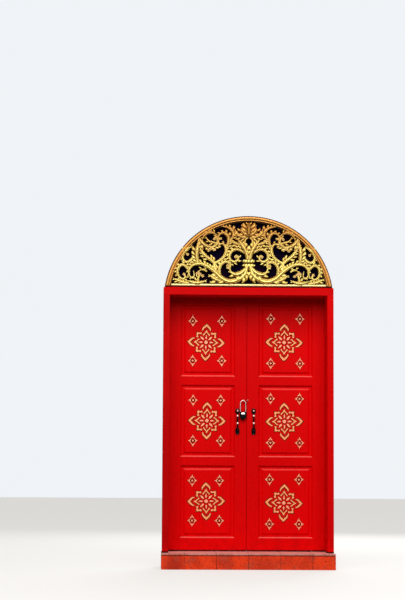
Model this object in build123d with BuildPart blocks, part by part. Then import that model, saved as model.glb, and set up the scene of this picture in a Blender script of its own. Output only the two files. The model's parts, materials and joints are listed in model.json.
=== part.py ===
# Carved and gilded double doors in their timber frame, on a tiled step.
# Millimetres, +Z up. The front faces -Y and the origin is the middle of the underside of the step.

import os
from math import ceil, hypot, sqrt

from build123d import *

os.makedirs("parts", exist_ok=True)

# Doorway and frame
opening_width = 1250.0
opening_height = 2030.0
jamb_face = 50.0
head_face = 60.0
frame_depth = 300.0
rebate_lap = 12.0
head_chamfer = 5.0

# Tiled step
step_height = 125.0
step_nose = 100.0
step_heel = 30.0
step_side = 5.0
tile_pitch = 250.0
tile_joint = 3.0
tread_thickness = 12.0
riser_thickness = 10.0
tread_overhang = 2.0

# Leaves
leaf_thickness = 38.0
stop_gap = 1.0
hinge_gap = 2.0
meeting_gap = 2.5
head_gap = 2.0
floor_gap = 5.0
meeting_stile_width = 103.0
hinge_stile_width = 113.0
bottom_rail_height = 110.0
middle_rail_height = 86.0
top_rail_height = 78.0
edge_bevel = 9.0

# Panels and their joints in the stiles and rails
groove_depth = 12.0
tongue_length = 10.0
tongue_thickness = 12.0
margin_sinking = 14.0
margin_width = 16.0
field_rise = 10.0
field_slope = 13.0
tenon_length = 60.0
tenon_shoulder = 12.0
tenon_end_gap = 1.0

# Gilded ornament on the panels
ornament_relief = 1.2
medallion_height = 302.0
medallion_width = 296.0
disc_radius = 13.0
petal_ring = 38.0
petal_length = 28.0
petal_width = 15.0
inner_tip_inset = 50.0
inner_chevron = (58.0, 48.0)
outer_chevron = (66.0, 60.0)
bracket_reach = 84.0
flower_height = 99.0
flower_width = 82.0
flower_waist = 14.5
flower_ring_radius = 13.0
flower_dot_radius = 6.5
flower_across = 116.0
left_flower_rise = 162.0
right_flower_rise = 174.0

# Lunette over the head
arch_radius = 675.0
arch_centre_drop = 112.0
arch_depth = 100.0
arch_setback = 10.0
sill_height = 10.0
moulding_edge = 7.0
moulding_width = 36.0
moulding_depth = 14.0
bead_height = 18.0
bead_depth = 9.0
lip_width = 12.0
carving_thickness = 24.0
ridge_height = 6.0
ridge_share = 0.45
backing_thickness = 12.0
backing_gap = 22.0
ring_wall = 31.0

# Hinges
hinge_height = 100.0
hinge_inset = 180.0
flap_thickness = 2.5
flap_width = 30.0
barrel_radius = 6.5
pin_radius = 3.0
pin_head_radius = 4.2
pin_head_height = 2.0
fixed_fit = 0.02
running_fit = 0.05
knuckle_gap = 0.3
barrel_standoff = 0.5

# Wood screws
screw_radius = 2.1
screw_head_radius = 4.2
screw_length = 24.0
screw_clearance = 0.1

# Pull handles
handle_height = 1158.0
handle_length = 215.0
left_handle_across = 74.0
right_handle_across = 56.0
handle_plate_thickness = 6.0
upper_plate = (38.0, 48.0)
lower_plate = (40.0, 64.0)
grip_standoff = 31.0
grip_radius = 7.0
grip_swell = 1.0
grip_neck = 1.5
knob_radius = 10.5
knob_spacing = 59.0
knob_rise = 16.0
collar_overlap = 4.0
collar_height = 12.0
arm_radius = 6.5
plate_screw_inset = 8.0

# Padlock and its eyes
lock_across = 30.0
lock_standoff = 20.0
lock_width = 52.0
lock_height = 64.0
lock_depth = 24.0
lock_corner = 8.0
shackle_rod = 7.0
shackle_span = 43.0
shackle_top = 1330.0
shackle_rise = 92.0
shackle_travel = 14.0
leg_engagement = 13.0
shackle_fit = 0.1
plug_radius = 7.0
plug_length = 12.0
eye_rod = 4.5
eye_hole = 12.0
left_eye_across = 24.0
right_eye_across = 6.5
eye_stem_length = 22.0
eye_washer_radius = 4.2
eye_washer_thickness = 1.5
eye_seat_gap = 0.7

# Tower bolts on the inner face of the left leaf
bolt_across = 56.0
bolt_rod = 10.0
bolt_length = 190.0
bolt_plate_width = 34.0
bolt_plate_height = 130.0
bolt_plate_thickness = 2.5
bolt_guide_height = 16.0
bolt_guide_wall = 3.0
bolt_fit = 0.1
bolt_end_gap = 4.0
bolt_knob_radius = 5.0
bolt_knob_length = 9.0
bolt_lift = 0.3
keeper_height = 20.0
keeper_width = 44.0
keeper_rise = 6.0

# Levels and faces that follow from the sizes
step_depth = step_nose + frame_depth + step_heel
step_front = -step_depth / 2
frame_front = step_front + step_nose
frame_rear = frame_front + frame_depth
step_rear = frame_rear + step_heel
deck = step_height
soffit = deck + opening_height
head_top = soffit + head_face
half_opening = opening_width / 2
half_frame = half_opening + jamb_face
half_step = half_frame + step_side
rebate_wall = half_opening + rebate_lap
leaf_rear = frame_rear
leaf_front = leaf_rear - leaf_thickness
stop_face = leaf_front - stop_gap
leaf_outer = rebate_wall - hinge_gap
leaf_inner = meeting_gap / 2
leaf_bottom = deck + floor_gap
leaf_top = soffit + rebate_lap - head_gap
leaf_height = leaf_top - leaf_bottom
panel_left = leaf_inner + meeting_stile_width
panel_right = leaf_outer - hinge_stile_width
panel_width = panel_right - panel_left
rails_height = bottom_rail_height + 2 * middle_rail_height + top_rail_height
panel_height = (leaf_height - rails_height) / 3
panel_middle = (panel_left + panel_right) / 2
margin_face = leaf_front + margin_sinking
panel_rear = margin_face + tongue_thickness
field_face = margin_face - field_rise
hinge_line = rebate_wall - hinge_gap / 2
pin_y = leaf_rear + barrel_radius + barrel_standoff
rows = ("bottom", "middle", "top")
panel_bottoms = [
    leaf_bottom + bottom_rail_height + row * (panel_height + middle_rail_height) for row in range(3)
]
panel_centres = [bottom + panel_height / 2 for bottom in panel_bottoms]
hinge_centres = (
    leaf_bottom + hinge_inset + hinge_height / 2,
    (leaf_bottom + leaf_top) / 2,
    leaf_top - hinge_inset - hinge_height / 2,
)
sides = (("left", -1), ("right", 1))


def front_plane(y, x=0.0, z=0.0):
    """A drawing plane that faces the front, with its own x to the right and y upwards."""
    return Plane(origin=(x, y, z), x_dir=(1, 0, 0), z_dir=(0, -1, 0))


def slab(x_range, y_range, z_range, mode=Mode.ADD):
    """A box between two values on each axis, given in either order."""
    ranges = [sorted(pair) for pair in (x_range, y_range, z_range)]
    middle = [(low + high) / 2 for low, high in ranges]
    size = [high - low for low, high in ranges]
    with Locations(tuple(middle)):
        Box(*size, mode=mode)


def polygon(points, mode=Mode.ADD):
    """A filled outline from its corner points, in the sketch that is open."""
    with BuildLine() as outline:
        Polyline(*points, close=True)
    return make_face(outline.edges(), mode=mode)


def screw(grow=0.0):
    """A countersunk wood screw: its head is flush with the plane, and it points along -Z."""
    head = screw_head_radius + grow
    shank = screw_radius + grow
    with BuildPart() as body:
        with BuildSketch(Plane.XZ):
            foot = -screw_length - grow
            polygon([(0, 0), (head, 0), (shank, shank - head), (shank, foot), (0, foot)])
        revolve(axis=Axis.Z)
    return body.part


screw_body = screw()
screw_hole = screw(screw_clearance)


def facing(x, y, z, direction):
    """The place of a screw whose head looks along the direction."""
    return Plane(origin=(x, y, z), z_dir=direction).location


def flap_screw_places(sign, face, outward):
    """Screws of the three flaps on one side of the doorway; outward is +1 into the jamb."""
    places = []
    for centre in hinge_centres:
        for step, depth in ((-0.38, 0.35), (-0.14, 0.65), (0.14, 0.35), (0.38, 0.65)):
            y = leaf_rear - flap_width * depth
            z = centre + step * hinge_height
            places.append(facing(sign * face, y, z, (-outward * sign, 0, 0)))
    return places


frame_screw_places = {side: flap_screw_places(sign, rebate_wall, 1) for side, sign in sides}
leaf_screw_places = {side: flap_screw_places(sign, leaf_outer, -1) for side, sign in sides}
handle_across = {"left": left_handle_across, "right": right_handle_across}
handle_screw_places = {
    side: [
        facing(sign * handle_across[side], leaf_front - handle_plate_thickness, z, (0, -1, 0))
        for z in (
            handle_height + handle_length / 2 - plate_screw_inset,
            handle_height - handle_length / 2 + plate_screw_inset,
        )
    ]
    for side, sign in sides
}

# Step core
with BuildPart() as step_core:
    slab(
        (-half_step + riser_thickness, half_step - riser_thickness),
        (step_front + tread_overhang + riser_thickness, step_rear),
        (0, deck - tread_thickness),
    )
step_core.part.label = "step_core"
export_step(step_core.part, "parts/step_core.step")


def tile_edges(half_length):
    """Ends of the tiles along a course that is centred on a joint."""
    count = ceil(half_length / tile_pitch)
    joints = [tile * tile_pitch for tile in range(-count + 1, count)]
    return [-half_length] + joints + [half_length]


def course(half_length):
    """Start and end of each tile of a course, with half a joint taken off inside edges."""
    edges = tile_edges(half_length)
    last = len(edges) - 2
    spans = []
    for tile, (start, end) in enumerate(zip(edges, edges[1:])):
        low = start if tile == 0 else start + tile_joint / 2
        high = end if tile == last else end - tile_joint / 2
        spans.append((low, high))
    return spans


bolt_axis = leaf_rear + bolt_plate_thickness + bolt_lift + bolt_rod / 2

# Tread tiles in two courses, with the socket of the lower bolt
with BuildPart() as tread_tiles:
    middle = (step_front + step_rear) / 2
    for span in course(half_step):
        slab(span, (step_front, middle - tile_joint / 2), (deck - tread_thickness, deck))
        slab(span, (middle + tile_joint / 2, step_rear), (deck - tread_thickness, deck))
    with Locations((-bolt_across, bolt_axis, deck - tread_thickness / 2)):
        Cylinder(bolt_rod / 2 + 1.0, tread_thickness, mode=Mode.SUBTRACT)
tread_tiles.part.label = "tread_tiles"
export_step(tread_tiles.part, "parts/tread_tiles.step")

# Riser tiles at the front and at both ends
with BuildPart() as riser_tiles:
    riser_top = deck - tread_thickness - tile_joint / 2
    riser_face = step_front + tread_overhang
    for low, high in course(half_step):
        slab((low, high), (riser_face, riser_face + riser_thickness), (0, riser_top))
    end_middle = (riser_face + riser_thickness + step_rear) / 2
    for sign in (-1, 1):
        wall = (sign * (half_step - riser_thickness), sign * half_step)
        slab(wall, (riser_face + riser_thickness + tile_joint, end_middle - tile_joint / 2), (0, riser_top))
        slab(wall, (end_middle + tile_joint / 2, step_rear), (0, riser_top))
riser_tiles.part.label = "riser_tiles"
export_step(riser_tiles.part, "parts/riser_tiles.step")

# Jambs, rebated at the back for the leaves and let in for the hinge flaps
for side, sign in sides:
    with BuildPart() as jamb:
        with BuildSketch(Plane.XY.offset(deck)):
            polygon(
                [
                    (sign * half_opening, frame_front),
                    (sign * half_frame, frame_front),
                    (sign * half_frame, frame_rear),
                    (sign * rebate_wall, frame_rear),
                    (sign * rebate_wall, stop_face),
                    (sign * half_opening, stop_face),
                ]
            )
        extrude(amount=opening_height)
        for centre in hinge_centres:
            slab(
                (sign * rebate_wall, sign * (rebate_wall + flap_thickness)),
                (leaf_rear - flap_width, frame_rear),
                (centre - hinge_height / 2, centre + hinge_height / 2),
                mode=Mode.SUBTRACT,
            )
        with Locations(*frame_screw_places[side]):
            add(screw_hole, mode=Mode.SUBTRACT)
    jamb.part.label = f"{side}_jamb"
    export_step(jamb.part, f"parts/{side}_jamb.step")

# Keeper of the upper bolt stands on the back of the head
keeper_bottom = soffit + rebate_lap + keeper_rise
keeper_screw_places = [
    facing(
        -bolt_across + step * (keeper_width / 2 - screw_head_radius - 2),
        frame_rear + bolt_plate_thickness,
        keeper_bottom + keeper_height / 2,
        (0, 1, 0),
    )
    for step in (-1, 1)
]

# Head, rebated at the back like the jambs
with BuildPart() as frame_head:
    with BuildSketch(Plane.YZ.offset(-half_frame)):
        polygon(
            [
                (frame_front, soffit),
                (frame_front, head_top - head_chamfer),
                (frame_front + head_chamfer, head_top),
                (frame_rear, head_top),
                (frame_rear, soffit + rebate_lap),
                (stop_face, soffit + rebate_lap),
                (stop_face, soffit),
            ]
        )
    extrude(amount=2 * half_frame)
    for sign in (-1, 1):
        slab(
            (sign * rebate_wall, sign * half_frame),
            (stop_face, frame_rear),
            (soffit, soffit + rebate_lap),
            mode=Mode.ADD,
        )
    with Locations(*keeper_screw_places):
        add(screw_hole, mode=Mode.SUBTRACT)
frame_head.part.label = "frame_head"
export_step(frame_head.part, "parts/frame_head.step")


def panel_voids(row, sign):
    """Bevelled edge and groove round one panel, cut from the stiles and rails that are open."""
    centre_x = sign * panel_middle
    centre_z = panel_centres[row]
    with BuildPart(mode=Mode.PRIVATE) as void:
        with BuildSketch(front_plane(leaf_front, centre_x, centre_z)):
            Rectangle(panel_width + 2 * edge_bevel, panel_height + 2 * edge_bevel)
        with BuildSketch(front_plane(leaf_front + edge_bevel, centre_x, centre_z)):
            Rectangle(panel_width, panel_height)
        loft()
        slab(
            (centre_x - panel_width / 2 - groove_depth, centre_x + panel_width / 2 + groove_depth),
            (margin_face, panel_rear),
            (centre_z - panel_height / 2 - groove_depth, centre_z + panel_height / 2 + groove_depth),
        )
    return void.part


def tenon(sign, z_range, extra=0.0, mode=Mode.ADD):
    """Both tenons of a rail, or with extra length the mortises that take them."""
    reach = tenon_length + extra
    heights = (z_range[0] + tenon_shoulder, z_range[1] - tenon_shoulder)
    slab((sign * (panel_left - reach), sign * panel_left), (margin_face, panel_rear), heights, mode=mode)
    slab((sign * panel_right, sign * (panel_right + reach)), (margin_face, panel_rear), heights, mode=mode)


rail_spans = {
    "bottom_rail": (leaf_bottom, panel_bottoms[0]),
    "lower_rail": (panel_bottoms[0] + panel_height, panel_bottoms[1]),
    "upper_rail": (panel_bottoms[1] + panel_height, panel_bottoms[2]),
    "top_rail": (panel_bottoms[2] + panel_height, leaf_top),
}

# The eyes stand at the height where the shackle crown crosses them
crown_radius = shackle_span / 2
crown_centre = shackle_top - shackle_rod / 2 - crown_radius
shackle_y = leaf_front - lock_standoff
eye_ring_radius = eye_hole / 2 + eye_rod / 2
left_eye_offset = lock_across - left_eye_across
rod_height = crown_centre + sqrt(crown_radius**2 - left_eye_offset**2)
eye_z = rod_height - shackle_rod / 2 - eye_seat_gap + eye_hole / 2
eye_across = {"left": left_eye_across, "right": right_eye_across}

# The plates of the two tower bolts, from the ends of the leaf inwards
bolt_spans = {
    "top": (leaf_top - bolt_end_gap - bolt_plate_height, 1),
    "bottom": (leaf_bottom + bolt_end_gap + bolt_plate_height, -1),
}
bolt_screw_places = [
    facing(
        -bolt_across + across * (bolt_plate_width / 2 - screw_head_radius - 1),
        leaf_rear + bolt_plate_thickness,
        start + way * along * bolt_plate_height,
        (0, 1, 0),
    )
    for start, way in bolt_spans.values()
    for across, along in ((-1, 0.3), (1, 0.3), (-1, 0.72), (1, 0.72))
]

# Stiles and rails of both leaves
for side, sign in sides:
    cuts = [panel_voids(row, sign) for row in range(3)]
    with BuildPart() as meeting_stile:
        slab((sign * leaf_inner, sign * panel_left), (leaf_front, leaf_rear), (leaf_bottom, leaf_top))
        add(cuts, mode=Mode.SUBTRACT)
        for span in rail_spans.values():
            tenon(sign, span, tenon_end_gap, Mode.SUBTRACT)
        with Locations(*handle_screw_places[side]):
            add(screw_hole, mode=Mode.SUBTRACT)
        with Locations(facing(sign * eye_across[side], leaf_front, eye_z, (0, -1, 0))):
            Hole(eye_rod / 2 + screw_clearance, depth=eye_stem_length)
        if side == "left":
            with Locations(*bolt_screw_places):
                add(screw_hole, mode=Mode.SUBTRACT)
    meeting_stile.part.label = f"{side}_meeting_stile"
    export_step(meeting_stile.part, f"parts/{side}_meeting_stile.step")

    with BuildPart() as hinge_stile:
        slab((sign * panel_right, sign * leaf_outer), (leaf_front, leaf_rear), (leaf_bottom, leaf_top))
        add(cuts, mode=Mode.SUBTRACT)
        for span in rail_spans.values():
            tenon(sign, span, tenon_end_gap, Mode.SUBTRACT)
        for centre in hinge_centres:
            slab(
                (sign * (leaf_outer - flap_thickness), sign * leaf_outer),
                (leaf_rear - flap_width, leaf_rear),
                (centre - hinge_height / 2, centre + hinge_height / 2),
                mode=Mode.SUBTRACT,
            )
        with Locations(*leaf_screw_places[side]):
            add(screw_hole, mode=Mode.SUBTRACT)
    hinge_stile.part.label = f"{side}_hinge_stile"
    export_step(hinge_stile.part, f"parts/{side}_hinge_stile.step")

    for name, span in rail_spans.items():
        with BuildPart() as rail:
            slab((sign * panel_left, sign * panel_right), (leaf_front, leaf_rear), span)
            add(cuts, mode=Mode.SUBTRACT)
            tenon(sign, span)
            if side == "left":
                with Locations(*bolt_screw_places):
                    add(screw_hole, mode=Mode.SUBTRACT)
        rail.part.label = f"{side}_{name}"
        export_step(rail.part, f"parts/{side}_{name}.step")

    for row, centre_z in zip(rows, panel_centres):
        centre_x = sign * panel_middle
        with BuildPart() as panel:
            with BuildSketch(front_plane(panel_rear, centre_x, centre_z)):
                Rectangle(panel_width + 2 * tongue_length, panel_height + 2 * tongue_length)
            extrude(amount=tongue_thickness)
            with BuildSketch(front_plane(margin_face, centre_x, centre_z)):
                Rectangle(panel_width - 2 * margin_width, panel_height - 2 * margin_width)
            with BuildSketch(front_plane(field_face, centre_x, centre_z)):
                inset = margin_width + field_slope
                Rectangle(panel_width - 2 * inset, panel_height - 2 * inset)
            loft()
        panel.part.label = f"{side}_{row}_panel"
        export_step(panel.part, f"parts/{side}_{row}_panel.step")


def turned(points, quarter):
    """Points turned by a number of right angles about the middle of the medallion."""
    for _ in range(quarter):
        points = [(-y, x) for x, y in points]
    return points


def mirrored_pair(points):
    """A closed outline from its right half, from the top down, and the mirror of that half."""
    return points + [(-x, y) for x, y in reversed(points) if x > 0]


def chevron(tip, size):
    """A pointed leaf pair from its tip down to its hooked feet and back up under the fold."""
    half = size[0] / 2
    high = size[1]
    outside = [(0, tip), (0.58 * half, tip - 0.4 * high), (half, tip - 0.76 * high), (0.8 * half, tip - high)]
    inside = [(0.44 * half, tip - 0.86 * high), (0, tip - 0.4 * high)]
    return mirrored_pair(outside + inside)


def bracket():
    """A leafy corner whose point is on the diagonal, with a foot along each of two sides."""
    reach = bracket_reach
    upper = [(0.75 * reach, 0.9 * reach), (0.45 * reach, 0.96 * reach), (0.44 * reach, 0.8 * reach)]
    waist = [(0.68 * reach, 0.74 * reach), (0.74 * reach, 0.68 * reach)]
    lower = [(y, x) for x, y in reversed(upper)]
    return [(reach, reach)] + upper + waist + lower


def medallion():
    """A disc, eight petals, and pointed chevrons and brackets in two rings round them."""
    tall = medallion_height / 2
    wide = medallion_width / 2
    Circle(disc_radius)
    half_length = petal_length / 2
    half_width = petal_width / 2
    near = [(-0.4 * half_length, -0.87 * half_width), (0.3 * half_length, -half_width)]
    far = [(x, -y) for x, y in reversed(near)]
    with BuildSketch(mode=Mode.PRIVATE) as petal:
        polygon([(-half_length, 0)] + near + [(half_length, 0)] + far)
    with PolarLocations(petal_ring, 8):
        add(petal.sketch)
    leaves = []
    for quarter, reach in enumerate((tall, wide, tall, wide)):
        inner = chevron(reach - inner_tip_inset, inner_chevron)
        outer = chevron(reach, outer_chevron)
        for outline in (inner, outer, bracket()):
            leaves.append(polygon(turned(outline, quarter), Mode.PRIVATE))
    add(leaves)


def flower():
    """A four-pointed star with a dark ring round its middle dot."""
    high = flower_height / 2
    wide = flower_width / 2
    waist = flower_waist
    right = [(waist, waist), (wide, 0), (waist, -waist)]
    left = [(-x, -y) for x, y in right]
    polygon([(0, high)] + right + [(0, -high)] + left)
    Circle(flower_ring_radius, mode=Mode.SUBTRACT)
    Circle(flower_dot_radius)


# Gilded medallions and flowers, hand placed a little differently on each panel
medallion_shift = {
    "left": {"bottom": -3.0, "middle": -7.0, "top": -15.0},
    "right": {"bottom": -16.0, "middle": -7.0, "top": -8.0},
}
medallion_turn = {
    "left": {"bottom": 2.0, "middle": 1.0, "top": -1.0},
    "right": {"bottom": 1.0, "middle": -1.0, "top": 4.0},
}
flower_rise = {"left": left_flower_rise, "right": right_flower_rise}
with BuildSketch() as rosette:
    medallion()
with BuildSketch() as small_flower:
    flower()
for side, sign in sides:
    with BuildPart() as ornaments:
        for row, centre_z in zip(rows, panel_centres):
            level = centre_z + medallion_shift[side][row]
            with BuildSketch(front_plane(field_face, sign * panel_middle, level)):
                add(rosette.sketch, rotation=medallion_turn[side][row])
                with GridLocations(2 * flower_across, 2 * flower_rise[side], 2, 2):
                    add(small_flower.sketch)
            extrude(amount=ornament_relief)
    ornaments.part.label = f"{side}_ornaments"
    export_step(ornaments.part, f"parts/{side}_ornaments.step")

# Butt hinges: three on each side, a fixed flap with three knuckles and a moving flap with two
knuckle = hinge_height / 5
for side, sign in sides:
    for number, centre in enumerate(hinge_centres, start=1):
        base = centre - hinge_height / 2
        for holder, own, bore, trim in (
            ("frame", (0, 2, 4), pin_radius + fixed_fit, 0.0),
            ("leaf", (1, 3), pin_radius + running_fit, knuckle_gap),
        ):
            outward = 1 if holder == "frame" else -1
            near = hinge_line + outward * hinge_gap / 2
            plate = (sign * near, sign * (near + outward * flap_thickness))
            with BuildPart() as flap:
                slab(plate, (leaf_rear - flap_width, leaf_rear), (base, base + hinge_height))
                for place in own:
                    low = base + place * knuckle + trim
                    high = base + (place + 1) * knuckle - trim
                    slab(plate, (leaf_rear, pin_y), (low, high))
                    with Locations((sign * hinge_line, pin_y, (low + high) / 2)):
                        Cylinder(barrel_radius, high - low)
                        Cylinder(bore, high - low, mode=Mode.SUBTRACT)
                places = frame_screw_places if holder == "frame" else leaf_screw_places
                with Locations(*places[side]):
                    add(screw_hole, mode=Mode.SUBTRACT)
            flap.part.label = f"{side}_{holder}_flap_{number}"
            export_step(flap.part, f"parts/{side}_{holder}_flap_{number}.step")

# Hinge pins, each with a flat head at both ends
with BuildPart() as hinge_pins:
    for side, sign in sides:
        for centre in hinge_centres:
            with Locations((sign * hinge_line, pin_y, centre)):
                Cylinder(pin_radius, hinge_height)
            for end in (-1, 1):
                level = centre + end * (hinge_height + pin_head_height) / 2
                with Locations((sign * hinge_line, pin_y, level)):
                    Cylinder(pin_head_radius, pin_head_height)
hinge_pins.part.label = "hinge_pins"
export_step(hinge_pins.part, "parts/hinge_pins.step")

# Screws, grouped by what they are driven into
screw_groups = {
    "frame_screws": frame_screw_places["left"] + frame_screw_places["right"] + keeper_screw_places,
    "left_leaf_screws": leaf_screw_places["left"] + handle_screw_places["left"] + bolt_screw_places,
    "right_leaf_screws": leaf_screw_places["right"] + handle_screw_places["right"],
}
for name, places in screw_groups.items():
    with BuildPart() as screws:
        with Locations(*places):
            add(screw_body)
    screws.part.label = name
    export_step(screws.part, f"parts/{name}.step")

# Pull handles: a turned grip on two arms, with a round upper and a drop-shaped lower plate
for side, sign in sides:
    centre_x = sign * handle_across[side]
    top = handle_height + handle_length / 2
    bottom = handle_height - handle_length / 2
    upper_z = top - upper_plate[1] / 2
    lower_z = bottom + lower_plate[1] / 2
    grip_y = leaf_front - grip_standoff
    with BuildPart() as handle:
        with BuildSketch(front_plane(leaf_front, centre_x, upper_z)):
            Ellipse(upper_plate[0] / 2, upper_plate[1] / 2)
        with BuildSketch(front_plane(leaf_front, centre_x, lower_z)):
            drop = lower_plate[0] / 2
            rise = lower_plate[1] / 2
            with BuildLine():
                CenterArc((0, drop - rise), drop, 180, 180)
                shoulder = (drop * 0.55, rise * 0.45)
                Spline((drop, drop - rise), shoulder, (0, rise), tangents=((0, 1), (-1, 0.4)))
                mirror(about=Plane.YZ)
            make_face()
        extrude(amount=handle_plate_thickness)
        rims = handle.edges().group_by(Axis.Y)[0]
        chamfer(rims, handle_plate_thickness / 3)
        with BuildSketch(Plane(origin=(centre_x, grip_y, 0), x_dir=(1, 0, 0), z_dir=(0, -1, 0))):
            knob = knob_spacing / 2
            waist = handle_height + knob_rise
            collar = grip_radius + grip_swell
            neck = grip_radius - grip_neck
            foot = lower_z - collar_overlap
            crest = upper_z + collar_height - collar_overlap
            with BuildLine():
                Polyline((0, foot), (collar, foot), (collar, foot + collar_height))
                Spline(
                    (collar, foot + collar_height),
                    (neck, (foot + collar_height + waist - knob) / 2),
                    (knob_radius, waist - knob),
                    (neck, waist - knob / 2),
                    (collar, waist),
                    (neck, waist + knob / 2),
                    (knob_radius, waist + knob),
                    (neck, (crest - collar_height + waist + knob) / 2),
                    (collar, crest - collar_height),
                )
                Polyline((collar, crest - collar_height), (collar, crest), (0, crest), (0, foot))
            make_face()
        revolve(axis=Axis((centre_x, grip_y, 0), (0, 0, 1)))
        for level in (foot + collar_height / 2, crest - collar_height / 2):
            with BuildSketch(front_plane(leaf_front - handle_plate_thickness / 2, centre_x, level)):
                Circle(arm_radius)
            extrude(amount=grip_standoff - handle_plate_thickness / 2)
        with Locations(*handle_screw_places[side]):
            add(screw_hole, mode=Mode.SUBTRACT)
    handle.part.label = f"{side}_handle"
    export_step(handle.part, f"parts/{side}_handle.step")

# Eye screws at one height on both leaves; the padlock hangs in the left one
for side, sign in sides:
    across = sign * eye_across[side]
    ring_y = shackle_y
    with BuildPart() as eye:
        with BuildSketch(Plane(origin=(across, ring_y, eye_z), x_dir=(1, 0, 0), z_dir=(0, 1, 0))):
            with Locations((0, eye_ring_radius)):
                Circle(eye_rod / 2)
        revolve(axis=Axis((across, ring_y, eye_z), (1, 0, 0)))
        with BuildSketch(front_plane(leaf_front, across, eye_z)):
            Circle(eye_washer_radius)
        extrude(amount=eye_washer_thickness)
        with BuildSketch(front_plane(leaf_front + eye_stem_length - 1, across, eye_z)):
            Circle(eye_rod / 2)
        extrude(amount=eye_stem_length - 1 + lock_standoff - eye_ring_radius)
    eye.part.label = f"{side}_eye"
    export_step(eye.part, f"parts/{side}_eye.step")

# Padlock shackle, hooked through the left eye
lock_x = -lock_across
lock_top = shackle_top - shackle_rise
long_leg = lock_top - lock_height * 0.62
short_leg = lock_top - leg_engagement
with BuildPart() as padlock_shackle:
    with BuildLine():
        left_foot = (lock_x - crown_radius, shackle_y, long_leg)
        left_shoulder = (lock_x - crown_radius, shackle_y, crown_centre)
        crown = (lock_x, shackle_y, crown_centre + crown_radius)
        right_shoulder = (lock_x + crown_radius, shackle_y, crown_centre)
        right_foot = (lock_x + crown_radius, shackle_y, short_leg)
        Line(left_foot, left_shoulder)
        ThreePointArc(left_shoulder, crown, right_shoulder)
        Line(right_shoulder, right_foot)
    with BuildSketch(Plane(origin=left_foot, z_dir=(0, 0, 1))):
        Circle(shackle_rod / 2)
    sweep()
padlock_shackle.part.label = "padlock_shackle"
export_step(padlock_shackle.part, "parts/padlock_shackle.step")

# Padlock body: square shoulders and a round foot
with BuildPart() as padlock_body:
    with BuildSketch(front_plane(shackle_y + lock_depth / 2, lock_x, lock_top)):
        half = lock_width / 2
        with BuildLine():
            Polyline((-half, half - lock_height), (-half, 0), (half, 0), (half, half - lock_height))
            CenterArc((0, half - lock_height), half, 180, 180)
        make_face()
        fillet(vertices().group_by(Axis.Y)[-1], lock_corner)
    extrude(amount=lock_depth)
    flat = padlock_body.faces().filter_by(Axis.Y)
    fillet(flat.edges(), lock_depth / 4)
    for across, foot in ((-crown_radius, long_leg - shackle_travel), (crown_radius, short_leg - 1)):
        depth = lock_top - foot
        with Locations((lock_x + across, shackle_y, lock_top - depth / 2)):
            Cylinder(shackle_rod / 2 + shackle_fit, depth, mode=Mode.SUBTRACT)
    with Locations((lock_x, shackle_y, lock_top - lock_height + plug_length / 2)):
        Cylinder(plug_radius + running_fit, plug_length, mode=Mode.SUBTRACT)
padlock_body.part.label = "padlock_body"
export_step(padlock_body.part, "parts/padlock_body.step")

# Key plug with its keyway, flush in the foot of the padlock
with BuildPart() as padlock_plug:
    plug_foot = lock_top - lock_height + 1.2
    with Locations((lock_x, shackle_y, plug_foot + (plug_length - 1.5) / 2)):
        Cylinder(plug_radius, plug_length - 1.5)
    slab(
        (lock_x - 1, lock_x + 1),
        (shackle_y - plug_radius * 0.6, shackle_y + plug_radius * 0.6),
        (plug_foot, plug_foot + plug_length * 0.6),
        mode=Mode.SUBTRACT,
    )
padlock_plug.part.label = "padlock_plug"
export_step(padlock_plug.part, "parts/padlock_plug.step")


def bolt_guide(level):
    """A square loop on the bolt plate round the rod, with its hole running upwards."""
    outer = bolt_rod / 2 + bolt_guide_wall
    slab(
        (-bolt_across - outer, -bolt_across + outer),
        (leaf_rear + bolt_plate_thickness, bolt_axis + outer),
        (level - bolt_guide_height / 2, level + bolt_guide_height / 2),
    )


# Tower bolts: a plate with two guides, and a rod with a knob that slides in them
for name, (start, way) in bolt_spans.items():
    finish = start + way * bolt_plate_height
    with BuildPart() as bolt_plate:
        slab(
            (-bolt_across - bolt_plate_width / 2, -bolt_across + bolt_plate_width / 2),
            (leaf_rear, leaf_rear + bolt_plate_thickness),
            (start, finish),
        )
        for level in (start + way * bolt_guide_height / 2, finish - way * bolt_guide_height / 2):
            bolt_guide(level)
        with Locations((-bolt_across, bolt_axis, (start + finish) / 2)):
            Cylinder(bolt_rod / 2 + bolt_fit, bolt_plate_height, mode=Mode.SUBTRACT)
        with Locations(*bolt_screw_places):
            add(screw_hole, mode=Mode.SUBTRACT)
    bolt_plate.part.label = f"{name}_bolt_plate"
    export_step(bolt_plate.part, f"parts/{name}_bolt_plate.step")

    with BuildPart() as bolt_rod_part:
        tail = finish - way * bolt_length
        with Locations((-bolt_across, bolt_axis, (tail + finish) / 2)):
            Cylinder(bolt_rod / 2, bolt_length)
        grip = start + way * (bolt_guide_height + bolt_knob_radius + 2)
        with BuildSketch(Plane(origin=(-bolt_across, bolt_axis, grip), x_dir=(1, 0, 0), z_dir=(0, 1, 0))):
            Circle(bolt_knob_radius)
        extrude(amount=bolt_rod / 2 + bolt_knob_length)
    bolt_rod_part.part.label = f"{name}_bolt_rod"
    export_step(bolt_rod_part.part, f"parts/{name}_bolt_rod.step")

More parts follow.
